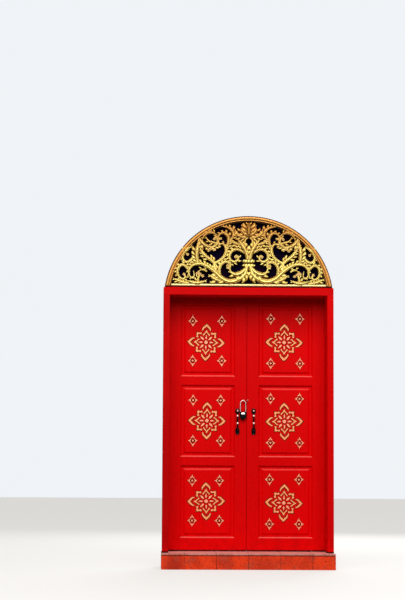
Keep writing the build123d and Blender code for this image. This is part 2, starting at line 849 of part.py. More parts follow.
# Keeper for the upper bolt, screwed to the back of the head
with BuildPart() as bolt_keeper:
    slab(
        (-bolt_across - keeper_width / 2, -bolt_across + keeper_width / 2),
        (frame_rear, frame_rear + bolt_plate_thickness),
        (keeper_bottom, keeper_bottom + keeper_height),
    )
    outer = bolt_rod / 2 + bolt_guide_wall
    slab(
        (-bolt_across - outer, -bolt_across + outer),
        (frame_rear + bolt_plate_thickness, bolt_axis + outer),
        (keeper_bottom, keeper_bottom + keeper_height),
    )
    with Locations((-bolt_across, bolt_axis, keeper_bottom + keeper_height / 2)):
        Cylinder(bolt_rod / 2 + 0.5, keeper_height, mode=Mode.SUBTRACT)
    with Locations(*keeper_screw_places):
        add(screw_hole, mode=Mode.SUBTRACT)
bolt_keeper.part.label = "bolt_keeper"
export_step(bolt_keeper.part, "parts/bolt_keeper.step")

# Lunette: its sill, the timber arch, the gilded moulding and bead, the carving and the board behind it
sill_top = head_top + sill_height
arch_front = frame_front + arch_setback
arch_rear = arch_front + arch_depth
arch_centre = sill_top - arch_centre_drop
screen_radius = arch_radius - ring_wall


def half_width(radius, level):
    """Half the width of the arch of a radius at a height."""
    return sqrt(radius**2 - (level - arch_centre) ** 2)


def half_disc(radius, base):
    """The part of a disc about the arch centre above a level, drawn in the sketch that is open."""
    half = half_width(radius, base)
    with BuildLine() as outline:
        ThreePointArc((-half, base), (0, arch_centre + radius), (half, base))
        Line((half, base), (-half, base))
    make_face(outline.edges())


with BuildPart() as lunette_sill:
    foot = half_width(arch_radius, sill_top)
    slab((-foot, foot), (arch_front, arch_rear), (head_top, sill_top))
lunette_sill.part.label = "lunette_sill"
export_step(lunette_sill.part, "parts/lunette_sill.step")

with BuildPart() as lunette_arch:
    with BuildSketch(front_plane(arch_rear)):
        half_disc(arch_radius, sill_top)
    extrude(amount=arch_depth)
    with BuildSketch(front_plane(arch_rear)):
        half_disc(screen_radius, sill_top)
    extrude(amount=arch_depth, mode=Mode.SUBTRACT)
lunette_arch.part.label = "lunette_arch"
export_step(lunette_arch.part, "parts/lunette_arch.step")

moulding_outer = arch_radius - moulding_edge
moulding_inner = moulding_outer - moulding_width
with BuildPart() as arch_moulding:
    round_part = moulding_width * 0.62
    outside = arch_centre + moulding_outer
    inside = arch_centre + moulding_inner
    fold = outside - round_part
    with BuildSketch(Plane.YZ):
        with BuildLine():
            Line((arch_front, inside), (arch_front, outside))
            ThreePointArc(
                (arch_front, outside),
                (arch_front - moulding_depth, outside - round_part / 2),
                (arch_front - moulding_depth * 0.25, fold),
            )
            ThreePointArc(
                (arch_front - moulding_depth * 0.25, fold),
                (arch_front - moulding_depth * 0.6, (fold + inside) / 2),
                (arch_front, inside),
            )
        make_face()
    revolve(axis=Axis((0, 0, arch_centre), (0, 1, 0)))
    slab(
        (-2 * arch_radius, 2 * arch_radius),
        (arch_front - 2 * moulding_depth, arch_front + moulding_depth),
        (sill_top - 3 * arch_radius, sill_top),
        mode=Mode.SUBTRACT,
    )
arch_moulding.part.label = "arch_moulding"
export_step(arch_moulding.part, "parts/arch_moulding.step")

bead_top = sill_top + bead_height
with BuildPart() as bottom_bead:
    reach = half_width(moulding_inner, bead_top) - 1
    with BuildSketch(Plane.YZ.offset(-reach)):
        with Locations((arch_front, sill_top + bead_height / 2)):
            Ellipse(bead_depth, bead_height / 2)
        with Locations((arch_front + bead_depth / 2, sill_top + bead_height / 2)):
            Rectangle(bead_depth, bead_height, mode=Mode.SUBTRACT)
    extrude(amount=2 * reach)
bottom_bead.part.label = "bottom_bead"
export_step(bottom_bead.part, "parts/bottom_bead.step")

# The carving is drawn as strokes on one side: centre-line points outward and up from the middle
# of the sill, and widths from root to tip
strokes = [
    ([(14, 172), (22, 122), (46, 82), (92, 48), (150, 36), (206, 56), (262, 106), (322, 152),
      (382, 176), (440, 168), (474, 130), (474, 88), (450, 62), (434, 84), (440, 124)], (26, 42, 16, 6)),
    ([(256, 100), (272, 146), (270, 194)], (26, 26, 26)),
    ([(264, 176), (300, 206), (345, 240), (378, 284), (398, 334)], (24, 26, 16)),
    ([(274, 182), (236, 200), (202, 228), (182, 268), (184, 312), (208, 338), (236, 330), (238, 308)],
     (24, 24, 10)),
    ([(402, 168), (412, 225), (414, 270), (406, 320), (396, 384)], (22, 34, 3)),
    ([(408, 318), (434, 254), (456, 208), (492, 188), (520, 206), (526, 238), (510, 264), (488, 256)],
     (12, 24, 12)),
    ([(528, 222), (512, 268), (478, 302), (438, 316)], (12, 28, 3)),
    ([(470, 104), (492, 146), (526, 168), (556, 152), (568, 112), (556, 74), (526, 54), (504, 70), (514, 96)],
     (18, 24, 12)),
    ([(470, 22), (530, 30), (566, 44), (606, 64)], (16, 30, 4)),
    ([(492, 44), (430, 26), (380, 28), (330, 50)], (5, 32, 5)),
    ([(190, 30), (250, 46), (290, 70), (322, 92)], (14, 34, 3)),
    ([(400, 24), (398, 62), (384, 92)], (20, 18, 14)),
    ([(224, 66), (236, 120), (226, 164), (196, 192), (164, 190), (146, 168), (156, 144), (180, 146)],
     (24, 26, 12)),
    ([(22, 142), (60, 106), (100, 92), (136, 106), (152, 134)], (26, 38, 4)),
    ([(20, 258), (66, 286), (108, 294), (142, 274), (156, 238), (144, 206), (112, 196), (86, 214), (88, 240),
      (108, 246)], (20, 24, 12)),
    ([(6, 205), (16, 256), (36, 304), (68, 350), (106, 388)], (28, 30, 5)),
    ([(6, 262), (27, 304), (33, 344), (23, 378), (-4, 394)], (14, 17, 17)),
    ([(0, 386), (0, 430), (0, 514)], (20, 46, 4)),
    ([(2, 400), (36, 420), (54, 452), (40, 490)], (20, 30, 3)),
    ([(14, 386), (64, 396), (98, 424), (114, 466)], (18, 30, 3)),
    ([(52, 330), (96, 338), (128, 356), (136, 384)], (14, 26, 3)),
    ([(184, 292), (164, 344), (162, 392), (190, 424), (226, 420), (244, 392), (226, 372)], (18, 26, 10)),
    ([(166, 352), (130, 388), (124, 432), (158, 466), (232, 482)], (12, 28, 4)),
    ([(402, 398), (376, 352), (344, 322), (290, 306)], (4, 32, 20)),
    ([(312, 300), (266, 322), (246, 352), (256, 384), (282, 384)], (20, 22, 10)),
    ([(238, 398), (300, 430), (346, 412), (376, 362)], (4, 28, 6)),
    ([(212, 336), (300, 352), (330, 372), (346, 404)], (8, 20, 4)),
]
# Middle and radius of each bud, and level, half width and height of the two collars on the axis
buds = [
    (300, 304, 20), (276, 292, 15), (320, 286, 15), (384, 98, 19), (362, 86, 14), (404, 108, 14),
    (166, 162, 15), (104, 234, 14), (514, 92, 13), (486, 250, 12), (234, 316, 12), (446, 66, 12),
    (274, 376, 12), (224, 380, 11),
]
collars = [(200, 50, 34), (166, 52, 28)]
samples_per_span = 3
ridge_samples_per_span = 2
bud_corners = 8
bud_ridge_share = 0.6


def smooth_path(points, samples):
    """Points along a Catmull-Rom curve through the given points, with its direction at each."""
    ends = [points[0]] + list(points) + [points[-1]]
    path = []
    for before, start, finish, after in zip(ends, ends[1:], ends[2:], ends[3:]):
        last = finish == points[-1]
        steps = range(samples + 1) if last else range(samples)
        for step in steps:
            t = step / samples
            place = []
            slope = []
            for p0, p1, p2, p3 in zip(before, start, finish, after):
                a = 2 * p1
                b = p2 - p0
                c = 2 * p0 - 5 * p1 + 4 * p2 - p3
                d = 3 * p1 - p0 - 3 * p2 + p3
                place.append((a + b * t + c * t**2 + d * t**3) / 2)
                slope.append((b + 2 * c * t + 3 * d * t**2) / 2)
            length = hypot(*slope)
            path.append((place, [value / length for value in slope]))
    return path


def stroke_outline(points, widths, share, samples):
    """Both edges of a stroke whose width runs smoothly through the widths."""
    path = smooth_path(points, samples)
    right, left = [], []
    for index, ((x, z), (dx, dz)) in enumerate(path):
        along = index / (len(path) - 1) * (len(widths) - 1)
        cell = min(int(along), len(widths) - 2)
        width = widths[cell] + (along - cell) * (widths[cell + 1] - widths[cell])
        half = share * width / 2
        right.append((x + dz * half, sill_top + z - dx * half))
        left.append((x - dz * half, sill_top + z + dx * half))
    return right + left[::-1]


def carved_sheet(stroke_share, bud_share, samples):
    """All strokes, buds and collars on both sides as one flat shape; the shares narrow them."""
    collar_share = (stroke_share + 1) / 2
    with BuildSketch() as sheet:
        pieces = []
        for points, widths in strokes:
            outline = stroke_outline(points, widths, stroke_share, samples)
            pieces.append(polygon(outline, Mode.PRIVATE))
        for across, up, radius in buds:
            with Locations((across, sill_top + up)):
                pieces.append(RegularPolygon(radius * bud_share, bud_corners, mode=Mode.PRIVATE))
        add(pieces)
        mirror(about=Plane.YZ)
        for up, half, height in collars:
            with Locations((0, sill_top + up)):
                Rectangle(2 * half * collar_share, height * collar_share)
    return sheet.sketch


carving_front = arch_front + 2.0
with BuildPart() as carved_screen:
    with BuildSketch(front_plane(carving_front + carving_thickness)):
        add(carved_sheet(1.0, 1.0, samples_per_span))
        with BuildSketch(mode=Mode.PRIVATE) as field:
            half_disc(screen_radius - 0.2, sill_top)
        add(field.sketch, mode=Mode.INTERSECT)
        with BuildSketch(mode=Mode.PRIVATE) as lip:
            half_disc(screen_radius - 0.2, sill_top)
            with BuildSketch(mode=Mode.PRIVATE) as inside:
                half_disc(moulding_inner - lip_width / 2, bead_top)
            add(inside.sketch, mode=Mode.SUBTRACT)
        add(lip.sketch)
    extrude(amount=carving_thickness)
    with BuildSketch(front_plane(carving_front)):
        add(carved_sheet(ridge_share, bud_ridge_share, ridge_samples_per_span))
        with BuildSketch(mode=Mode.PRIVATE) as inner_field:
            half_disc(moulding_inner - lip_width / 2, bead_top)
        add(inner_field.sketch, mode=Mode.INTERSECT)
    extrude(amount=ridge_height)
carved_screen.part.label = "carved_screen"
export_step(carved_screen.part, "parts/carved_screen.step")

with BuildPart() as backing_board:
    board_front = carving_front + carving_thickness + backing_gap
    with BuildSketch(front_plane(board_front + backing_thickness)):
        half_disc(screen_radius - 0.2, sill_top)
    extrude(amount=backing_thickness)
backing_board.part.label = "backing_board"
export_step(backing_board.part, "parts/backing_board.step")
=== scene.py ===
# Carved double doors: lacquered timber, gilded carving and ornament, black iron and clay tiles.
# Metres, +Z up, front towards -Y. Every piece is worked out from the frame's own boxes.

import json

import bmesh
import bpy
import numpy as np
from bpy.props import FloatProperty, FloatVectorProperty, PointerProperty
from bpy.types import Operator, Panel, PropertyGroup
from mathutils import Matrix, Vector

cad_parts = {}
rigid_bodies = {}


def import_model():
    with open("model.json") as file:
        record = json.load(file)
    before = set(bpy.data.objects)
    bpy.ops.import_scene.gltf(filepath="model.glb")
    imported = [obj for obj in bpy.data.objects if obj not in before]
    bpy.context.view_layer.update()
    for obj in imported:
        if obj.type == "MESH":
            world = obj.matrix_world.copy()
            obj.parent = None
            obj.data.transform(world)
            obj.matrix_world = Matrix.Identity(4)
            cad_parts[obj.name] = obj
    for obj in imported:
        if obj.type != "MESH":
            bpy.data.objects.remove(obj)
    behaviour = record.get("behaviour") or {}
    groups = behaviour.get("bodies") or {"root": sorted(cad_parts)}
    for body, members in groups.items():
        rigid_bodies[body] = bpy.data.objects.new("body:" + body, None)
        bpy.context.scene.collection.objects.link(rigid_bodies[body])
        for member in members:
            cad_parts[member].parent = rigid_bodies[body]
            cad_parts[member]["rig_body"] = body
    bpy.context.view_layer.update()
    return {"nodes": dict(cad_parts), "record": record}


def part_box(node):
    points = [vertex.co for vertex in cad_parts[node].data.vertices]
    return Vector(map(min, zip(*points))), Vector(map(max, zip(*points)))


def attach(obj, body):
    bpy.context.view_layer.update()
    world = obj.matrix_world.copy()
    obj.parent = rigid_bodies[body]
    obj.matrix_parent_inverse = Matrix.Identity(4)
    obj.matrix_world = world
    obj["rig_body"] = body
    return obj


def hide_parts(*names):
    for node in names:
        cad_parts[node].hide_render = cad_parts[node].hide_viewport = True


bl_info = {
    "name": "Carved Double Doors",
    "version": (1, 0, 0),
    "blender": (4, 5, 0),
    "location": "View3D > Sidebar > Doors",
    "description": "Lacquer, gilded carving, iron and tiles for a pair of panelled doors",
    "category": "Object",
}

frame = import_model()
nodes = frame["nodes"]

MM = 0.001
SIDES = (("left", -1), ("right", 1))
ROWS = ("bottom", "middle", "top")
MERGE = 1e-6


def from_screen(red, green, blue):
    """Linear colour of three screen values from 0 to 255."""
    value = np.array([red, green, blue]) / 255
    linear = np.where(value <= 0.04045, value / 12.92, ((value + 0.055) / 1.055) ** 2.4)
    return tuple(float(part) for part in linear)


def size(name, value, note):
    """A length in millimetres as a property in metres."""
    return FloatProperty(name=name, description=note, default=value * MM, min=0.0, unit="LENGTH", precision=4)


def share(name, value, note):
    """A plain factor."""
    return FloatProperty(name=name, description=note, default=value, min=0.0, max=10.0)


def amount(name, value, note):
    """A number that may be negative."""
    return FloatProperty(name=name, description=note, default=value)


def slant(name, value, note):
    """An angle in degrees as a property in radians."""
    return FloatProperty(name=name, description=note, default=np.radians(value), subtype="ANGLE")


def tint(name, screen, note):
    """A colour given by its screen values."""
    linear = from_screen(*screen)
    return FloatVectorProperty(name=name, description=note, default=linear, min=0.0, max=1.0, subtype="COLOR")


class LacquerLook(PropertyGroup):
    """Red paint on the timber."""

    red: tint("Red", (221, 2, 4), "Fresh lacquer on the frame, the stiles and the rails")
    # Painted shade: the left jamb is darker than the right, as if it stood in shade.
    shaded_jamb_red: tint("Jamb red", (190, 3, 5), "Duller red of the left jamb")
    head_red: tint("Head red", (209, 3, 5), "Lacquer on the head")
    panel_red: tint("Panel red", (226, 2, 4), "Lacquer on the panels")
    faded: tint("Faded", (232, 8, 6), "Lacquer that the sun has bleached a little")
    shade: tint("Shade", (128, 2, 5), "Lacquer thickened with dirt in corners and brush marks")
    # Painted shadow: the timber arch and the sill are painted near black, for the shadow in the gaps round
    # the gold and over the head.
    dark: tint("Dark", (36, 10, 9), "Paint on the timber arch over the doors")
    gloss: share("Roughness", 0.36, "Roughness of clean lacquer")
    sheen: share("Sheen", 0.03, "Strength of the reflection on the lacquer")
    brush: size("Brush mark", 0.25, "Depth of the brush marks")
    # Painted shade: the near-black line at the foot, for the shadow in the gap under the leaves.
    foot_shade: tint("Grime", (26, 1, 1), "Dark line at the foot, where mops and rain reach")
    # Painted highlight: the pale tone on ledges that face up, as if they catch light from above.
    ledge_highlight: tint("Dust", (240, 112, 104), "Pale dust on upward faces")


class GildingLook(PropertyGroup):
    """Gold on the carving, the mouldings and the ornaments."""

    # Painted highlight: the pale gold on the crests of the carving.
    light: tint("Light gold", (255, 244, 138), "Gold on the crests of the carving")
    middle: tint("Gold", (188, 132, 22), "Gold on the slopes of the carving")
    # Painted shade: the dark tone of the gilding in the grooves and on the edges.
    hollow: tint("Hollow", (46, 18, 4), "Gold and dirt in the grooves")
    bud: tint("Bud", (250, 206, 122), "Warmer gold of the buds")
    arch: tint("Arch gold", (216, 148, 60), "Gold of the arch moulding")
    bead: tint("Bead gold", (244, 224, 150), "Pale gold of the bead under the carving")
    # Painted shade: the tone that darkens the carving under the arch.
    arch_shade: tint("Aged", (226, 178, 140), "Tone over the carving that the arch shelters")
    petal: tint("Petal gold", (255, 156, 118), "Rosy gold of the inner petals and the flowers")
    ornament: tint("Ornament gold", (242, 154, 90), "Gold of the medallions and flowers")
    # Partly a painted outline and partly painted shade: the dark line round the ornaments also darkens the
    # gaps between the petals.
    line: tint("Line", (92, 10, 6), "Dark line round the ornaments")
    metal: share("Metal", 0.25, "How much the gold shines as metal")


class CarvingForm(PropertyGroup):
    """Relief of the carving in the lunette."""

    crown: size("Crown", 14, "Height of the widest stroke over its edge")
    reference: size("Reference half width", 17, "Half width at which a stroke has the full crown")
    thickness: size("Thickness", 17, "Depth of a stroke behind its edge")
    recess: size("Recess", 10, "How far the edges stand behind the front of the carving")
    pitch: size("Lobe pitch", 26, "Length of one lobe of a leaf")
    groove: size("Groove", 6, "Depth of the cuts between lobes")
    flute: size("Flute", 4.2, "Depth of the two flutes along a stroke")
    fullness: share("Fullness", 1.2, "Factor on the widths of the strokes")
    contrast: share("Contrast", 1.3, "How much broad strokes differ from thin ones")
    leaf_gap: size("Leaf gap", 25, "Distance between two small leaves along a stroke")
    step: size("Step", 2.8, "Distance between two rows of the mesh")


class OrnamentForm(PropertyGroup):
    """Gilded ornament on the panels."""

    relief: size("Relief", 1.1, "Height of the ornament over the panel")
    slimness: share("Slimness", 0.94, "Width of a form as a share of its outline")
    sunk: size("Sunk", 0.4, "Depth of its edge in the panel")
    # The line is wide enough to fill the gaps between the petals with painted shade.
    line: size("Line", 4.8, "Width of the dark line painted round the ornament")
    line_relief: size("Line relief", 0.25, "Height of the painted line over the panel")


class TimberForm(PropertyGroup):
    """Worn edges of the timber and the tiles."""

    ease: size("Eased edge", 1.0, "Width of the worn edge of timber")
    tile_ease: size("Tile edge", 1.6, "Width of the worn edge of a tile")
    shortest: size("Shortest edge", 25, "Edges of timber shorter than this stay as they are")
    tile_shortest: size("Shortest tile edge", 20, "Edges of tiles shorter than this stay as they are")


class IronLook(PropertyGroup):
    """Iron, steel and brass."""

    black: tint("Black iron", (8, 6, 6), "Handles and padlock")
    worn: tint("Worn iron", (150, 128, 120), "Bare iron of screws and eyes")
    # Partly wear and partly painted reflection: the rubbed knobs are tinted pink, as if they mirrored the red
    # doors.
    knob: tint("Rubbed knob", (228, 182, 170), "Knobs of the handles, rubbed bright by hands")
    screw: tint("Screws", (74, 62, 58), "Blackened screws")
    hinge: tint("Hinge iron", (58, 46, 42), "Hinges and bolts")
    steel: tint("Steel", (206, 196, 190), "Shackle of the padlock")
    # Painted highlight: a near-white polished plate, put where the padlock shows a bright highlight near its
    # top.
    badge: tint("Badge", (246, 242, 240), "Polished plate on the padlock")
    brass: tint("Brass", (176, 140, 70), "Key plug")


class ClayLook(PropertyGroup):
    """Tiles of the step."""

    pitch: size("Tile", 250, "Distance between two joints of the tiles")
    # Painted shadow: the dark band on the riser under the nose of the tread.
    seam: size("Seam", 4, "Height of the dirty band under the nose of the tread")
    riser: tint("Riser", (178, 36, 18), "Clay of the riser tiles")
    riser_bright: tint("Riser, bright", (255, 66, 20), "Brightest riser tile")
    tread: tint("Tread", (196, 84, 66), "Clay of the tread tiles")
    # Partly wear and partly a painted reflection of the sky: the pale tone on the faces of the tread that
    # look up.
    tread_wear_and_sheen: tint("Tread, pale", (226, 150, 138), "Edge of the tread, polished by feet")
    pit: tint("Pits", (116, 26, 16), "Dark pits and stains in the clay")
    grain: tint("Grains", (244, 178, 150), "Pale grains in the clay")
    mortar: tint("Mortar", (150, 84, 66), "Joints and core of the step")
    navy: tint("Navy", (7, 3, 28), "Paint on the board behind the carving")


class StudioLook(PropertyGroup):
    """Camera, lamps and floor."""

    camera_x: amount("Camera X", -0.75, "Place of the camera across the doors in metres")
    camera_y: amount("Camera Y", -14.10, "Place of the camera in front of the doors in metres")
    camera_z: amount("Camera Z", 0.807, "Height of the camera in metres")
    pitch: slant("Pitch", 5.33, "Camera tilt upwards")
    yaw: slant("Yaw", 1.57, "Camera turn to the right")
    roll: slant("Roll", 0.3, "Camera turn about its axis")
    lens: amount("Lens", 106.35, "Focal length in millimetres on a 36 mm high frame")
    floor: tint("Floor", (236, 234, 230), "Pale floor")
    floor_shade: tint("Floor shade", (138, 137, 135), "Part of the floor's colour that keeps the shadow")
    floor_bounce: tint("Floor bounce", (44, 42, 40), "Floor as it lights the doors from below")
    sky: tint("Sky", (240, 243, 247), "Pale surroundings")
    ambient: share("Ambient", 0.035, "Strength of the light from all sides")
    glow: share("Floor glow", 0.72, "Brightness of the floor to the camera and in reflections")
    key: amount("Key lamp", 1065.0, "Power of the main lamp in watts")
    fill: amount("Fill lamp", 90.0, "Power of the side lamp in watts")
    back: amount("Back lamp", 300.0, "Power of the lamp behind in watts")


LOOKS = {
    "lacquer": LacquerLook,
    "gilding": GildingLook,
    "carving": CarvingForm,
    "ornament": OrnamentForm,
    "timber": TimberForm,
    "iron": IronLook,
    "clay": ClayLook,
    "studio": StudioLook,
}


class DoorSettings(PropertyGroup):
    """All sizes and colours of the doors."""

    lacquer: PointerProperty(type=LacquerLook)
    gilding: PointerProperty(type=GildingLook)
    carving: PointerProperty(type=CarvingForm)
    ornament: PointerProperty(type=OrnamentForm)
    timber: PointerProperty(type=TimberForm)
    iron: PointerProperty(type=IronLook)
    clay: PointerProperty(type=ClayLook)
    studio: PointerProperty(type=StudioLook)


class Value:
    """A node's output. Arithmetic on it adds Math nodes to the same finish."""

    def __init__(self, finish, socket):
        self.finish = finish
        self.socket = socket

    def math(self, operation, *values):
        return self.finish.node("ShaderNodeMath", {"operation": operation}, dict(enumerate(values)))

    def __add__(self, other):
        return self.math("ADD", self, other)

    def __sub__(self, other):
        return self.math("SUBTRACT", self, other)

    def __mul__(self, other):
        return self.math("MULTIPLY", self, other)

    def __radd__(self, other):
        return self.math("ADD", other, self)

    def __rsub__(self, other):
        return self.math("SUBTRACT", other, self)

    def __rmul__(self, other):
        return self.math("MULTIPLY", other, self)

    def between(self, low, high):
        """0 below low, 1 above high, and a smooth step from one to the other."""
        ends = {"Value": self, "From Min": low, "From Max": high}
        return self.finish.node("ShaderNodeMapRange", {"interpolation_type": "SMOOTHSTEP"}, ends)


# Sockets of a Mix node for colours.
MIX_FACTOR = 0
MIX_FIRST = 6
MIX_SECOND = 7
MIX_RESULT = 2


class Finish:
    """A material or a world under construction. Its node method adds any node and fills its sockets."""

    def __init__(self, name, world=None):
        self.owner = world or bpy.data.materials.new(name)
        self.owner.use_nodes = True
        self.tree = self.owner.node_tree
        self.tree.nodes.clear()
        self.place = None if world else self.node("ShaderNodeTexCoord", output="Object")

    def node(self, kind, settings=None, inputs=None, output=0):
        made = self.tree.nodes.new(kind)
        for key, value in (settings or {}).items():
            setattr(made, key, value)
        for key, value in (inputs or {}).items():
            if isinstance(value, Value):
                self.tree.links.new(value.socket, made.inputs[key])
            else:
                made.inputs[key].default_value = value
        return Value(self, made.outputs[output])

    def noise(self, scale, detail=3.0, stretch=(1, 1, 1), shift=(0, 0, 0)):
        """Noise of about that many lumps a metre, stretched by its factor along each axis."""
        place = {"Vector": self.place, "Scale": stretch, "Location": shift}
        lumps = {"Vector": self.node("ShaderNodeMapping", None, place), "Scale": scale, "Detail": detail}
        return self.node("ShaderNodeTexNoise", None, lumps, "Fac")

    def mix(self, factor, first, second, blend="MIX"):
        """The first colour where the factor is 0 and the second where it is 1."""
        sockets = {MIX_FACTOR: factor, MIX_FIRST: opaque(first), MIX_SECOND: opaque(second)}
        return self.node("ShaderNodeMix", {"data_type": "RGBA", "blend_type": blend}, sockets, MIX_RESULT)

    def upward(self):
        """How far the surface faces up: 1 on a level top, 0 on a wall and -1 below."""
        facing = self.node("ShaderNodeTexCoord", output="Normal")
        return self.node("ShaderNodeSeparateXYZ", None, {"Vector": facing}, "Z")

    def height(self):
        """Height over the ground."""
        return self.node("ShaderNodeSeparateXYZ", None, {"Vector": self.place}, "Z")

    def bump(self, height, depth):
        """A normal tilted by a height from 0 to 1 that stands for a depth in metres."""
        inputs = {"Height": height, "Distance": depth, "Strength": 1.0}
        return self.node("ShaderNodeBump", None, inputs, "Normal")

    def seen(self, *kinds):
        """1 for rays of any of the given kinds, such as Camera, and 0 for the others."""
        rays = [self.node("ShaderNodeLightPath", output=f"Is {kind} Ray") for kind in kinds]
        found = rays[0]
        for ray in rays[1:]:
            found = found.math("MAXIMUM", found, ray)
        return found

    def ends_in(self, kind, shader):
        """Links the shader to an output node of the given kind."""
        end = self.tree.nodes.new(kind)
        self.tree.links.new(shader.socket, end.inputs["Surface"])
        return self.owner

    def done(self, **sockets):
        """Fills the surface shader and returns the material."""
        names = [name.replace("_", " ").title().replace("Ior", "IOR") for name in sockets]
        surface = self.node("ShaderNodeBsdfPrincipled", None, dict(zip(names, sockets.values())))
        return self.ends_in("ShaderNodeOutputMaterial", surface)


def opaque(colour):
    """A colour with an alpha of 1, or a node's output as it is."""
    if isinstance(colour, Value):
        return colour
    return (*colour, 1.0)


def lacquer(name, look, colour, stretch, floor, head_shade_span):
    """Brushed red paint: streaks along the grain, bleached and dirty patches, and splashes near the foot.
    A painted highlight lies on ledges that face up, and fades out between two heights under the head; a band
    just over the floor is darkened as painted shade of the gap at the foot."""
    splashed = (0.13, 0.42)
    foot_shade_span = (floor + 0.009, floor + 0.021)
    paint = Finish(name)
    streak = paint.noise(1.0, 4.0, stretch)
    patch = paint.noise(2.3, 4.0)
    fine = paint.noise(170.0, 2.0)
    foot = 1 - paint.height().between(*splashed)
    dirt = foot * paint.noise(14.0, 5.0).between(0.42, 0.68) * 0.22
    faded = patch.between(0.5, 0.75) * 0.35
    base = paint.mix(faded, colour, look.faded)
    base = paint.mix(streak.between(0.52, 0.8) * 0.3, base, look.shade)
    base = paint.mix(dirt, base, look.shade)
    # Painted highlight: ledges that face up turn pale, except at the heights just under the head.
    highlit_ledge = paint.upward().between(0.5, 0.75) * (0.4 + fine * 0.5)
    base = paint.mix(highlit_ledge * (1 - paint.height().between(*head_shade_span)), base, look.ledge_highlight)
    # Painted shade: a dark band just over the floor on every lacquered piece, for the shadow in the gap under
    # the leaves.
    shaded_foot = 1 - (paint.height() + streak * 0.006).between(*foot_shade_span)
    base = paint.mix(shaded_foot, base, look.foot_shade)
    rough = look.gloss + streak * 0.12 + patch * 0.08 + dirt * 0.3
    relief = streak * 0.8 + fine * 0.2
    return paint.done(
        base_color=base,
        roughness=rough,
        specular_ior_level=look.sheen,
        normal=paint.bump(relief, look.brush),
    )


def gold(name, look, light, middle, roughness=0.36, follow=True, arch_shade_span=None, deep=None):
    """Gilding that goes from its light colour where the hollow values are low to a dark tone where they are
    high, with rubbed and dull patches; on the carving the light crests are a painted highlight and the dark
    grooves painted shade. Faces that look down are darkened as painted shade and faces that look up lightened
    as a painted highlight, and between two given heights the gold turns to a tone of painted shade under the
    arch."""
    paint = Finish(name)
    patch = paint.noise(22.0, 4.0)
    leaf = paint.noise(140.0, 3.0)
    if follow:
        hollow = paint.node("ShaderNodeAttribute", {"attribute_name": "hollow"}, output="Fac")
        # Painted shade on faces that look down and a painted highlight on faces that look up.
        up = paint.upward()
        under = (0 - up).between(0.05, 0.85)
        hollow = hollow + (patch - 0.5) * 0.3 + under * 0.55 - up.between(0.1, 0.8) * 0.12
    else:
        hollow = patch.between(0.4, 0.8) * 0.5
    base = paint.mix(hollow.between(0.0, 0.45), light, middle)
    base = paint.mix(hollow.between(0.32, 0.88) * 0.96, base, deep or look.hollow)
    # Painted shade under the arch: between the given heights the gold darkens towards its arch tone.
    if arch_shade_span:
        base = paint.mix(paint.height().between(*arch_shade_span), base, look.arch_shade, "MULTIPLY")
    rough = roughness + hollow.between(0.2, 0.9) * 0.3 + leaf * 0.1
    shine = look.metal * (1 - hollow.between(0.3, 0.9) * 0.7)
    return paint.done(
        base_color=base,
        roughness=rough,
        metallic=shine,
        specular_ior_level=0.3,
        normal=paint.bump(leaf + patch * 2, 0.5 * MM),
    )


def iron(name, colour, worn, roughness, metal=0.75):
    """Dark forged metal with a fine pitted skin and rubbed patches."""
    paint = Finish(name)
    pits = paint.noise(420.0, 3.0)
    patch = paint.noise(38.0, 4.0)
    base = paint.mix(patch.between(0.52, 0.75) * 0.4, colour, worn)
    rough = roughness + patch * 0.2
    return paint.done(base_color=base, roughness=rough, metallic=metal, normal=paint.bump(pits, 0.12 * MM))


def clay(name, look, colour, second, worn=None, seam=None):
    """Fired tiles: each tile has its own tone, with a blush across it, pits and pale grains. Upper faces take
    the worn colour, partly wear and partly a painted reflection of the sky, and above the height of the seam
    the riser darkens as a painted shadow of the tread's nose."""
    paint = Finish(name)
    across = paint.node("ShaderNodeSeparateXYZ", None, {"Vector": paint.place}, "X")
    tile = across * (1 / look.pitch)
    tile = tile.math("FLOOR", tile)
    tone = paint.node("ShaderNodeTexWhiteNoise", {"noise_dimensions": "1D"}, {"W": tile + 0.37}, "Value")
    blush = paint.noise(4.5, 2.0, shift=(3.1, 0, 0))
    cloud = paint.noise(16.0, 5.0)
    mottle = paint.noise(85.0, 4.0)
    speck = paint.noise(320.0, 2.0)
    bright = (tone * 0.55 + blush.between(0.35, 0.65) * 0.6).between(0.15, 0.95)
    base = paint.mix(bright, colour, second)
    base = paint.mix(cloud.between(0.5, 0.72) * 0.35, base, look.mortar)
    base = paint.mix(mottle.between(0.5, 0.68) * 0.6, base, look.pit)
    base = paint.mix(speck.between(0.66, 0.74) * 0.7, base, look.grain)
    if worn:
        # Partly wear and partly a painted reflection of the sky on the faces that look up.
        edge = paint.upward().between(0.2, 0.8) * (0.4 + mottle * 0.8)
        base = paint.mix(edge, base, worn)
    if seam:
        # Painted shadow of the tread's nose on the top of the riser.
        nose_shadow = (paint.height() + cloud * 0.008).between(seam - 0.002, seam + 0.004)
        base = paint.mix(nose_shadow * 0.75, base, look.pit)
    rough = 0.5 + cloud * 0.25
    return paint.done(
        base_color=base,
        roughness=rough,
        specular_ior_level=0.12,
        normal=paint.bump(cloud * 1.5 + mottle + speck * 0.5, 0.6 * MM),
    )


def plain_paint(name, colour, second, roughness, scale=6.0, gloss=0.12):
    """Flat paint with soft clouds of a second colour."""
    paint = Finish(name)
    cloud = paint.noise(scale, 4.0)
    grain = paint.noise(90.0, 3.0)
    base = paint.mix(cloud.between(0.35, 0.75) * 0.6, colour, second)
    return paint.done(
        base_color=base,
        roughness=roughness + cloud * 0.15,
        specular_ior_level=gloss,
        normal=paint.bump(grain, 0.25 * MM),
    )


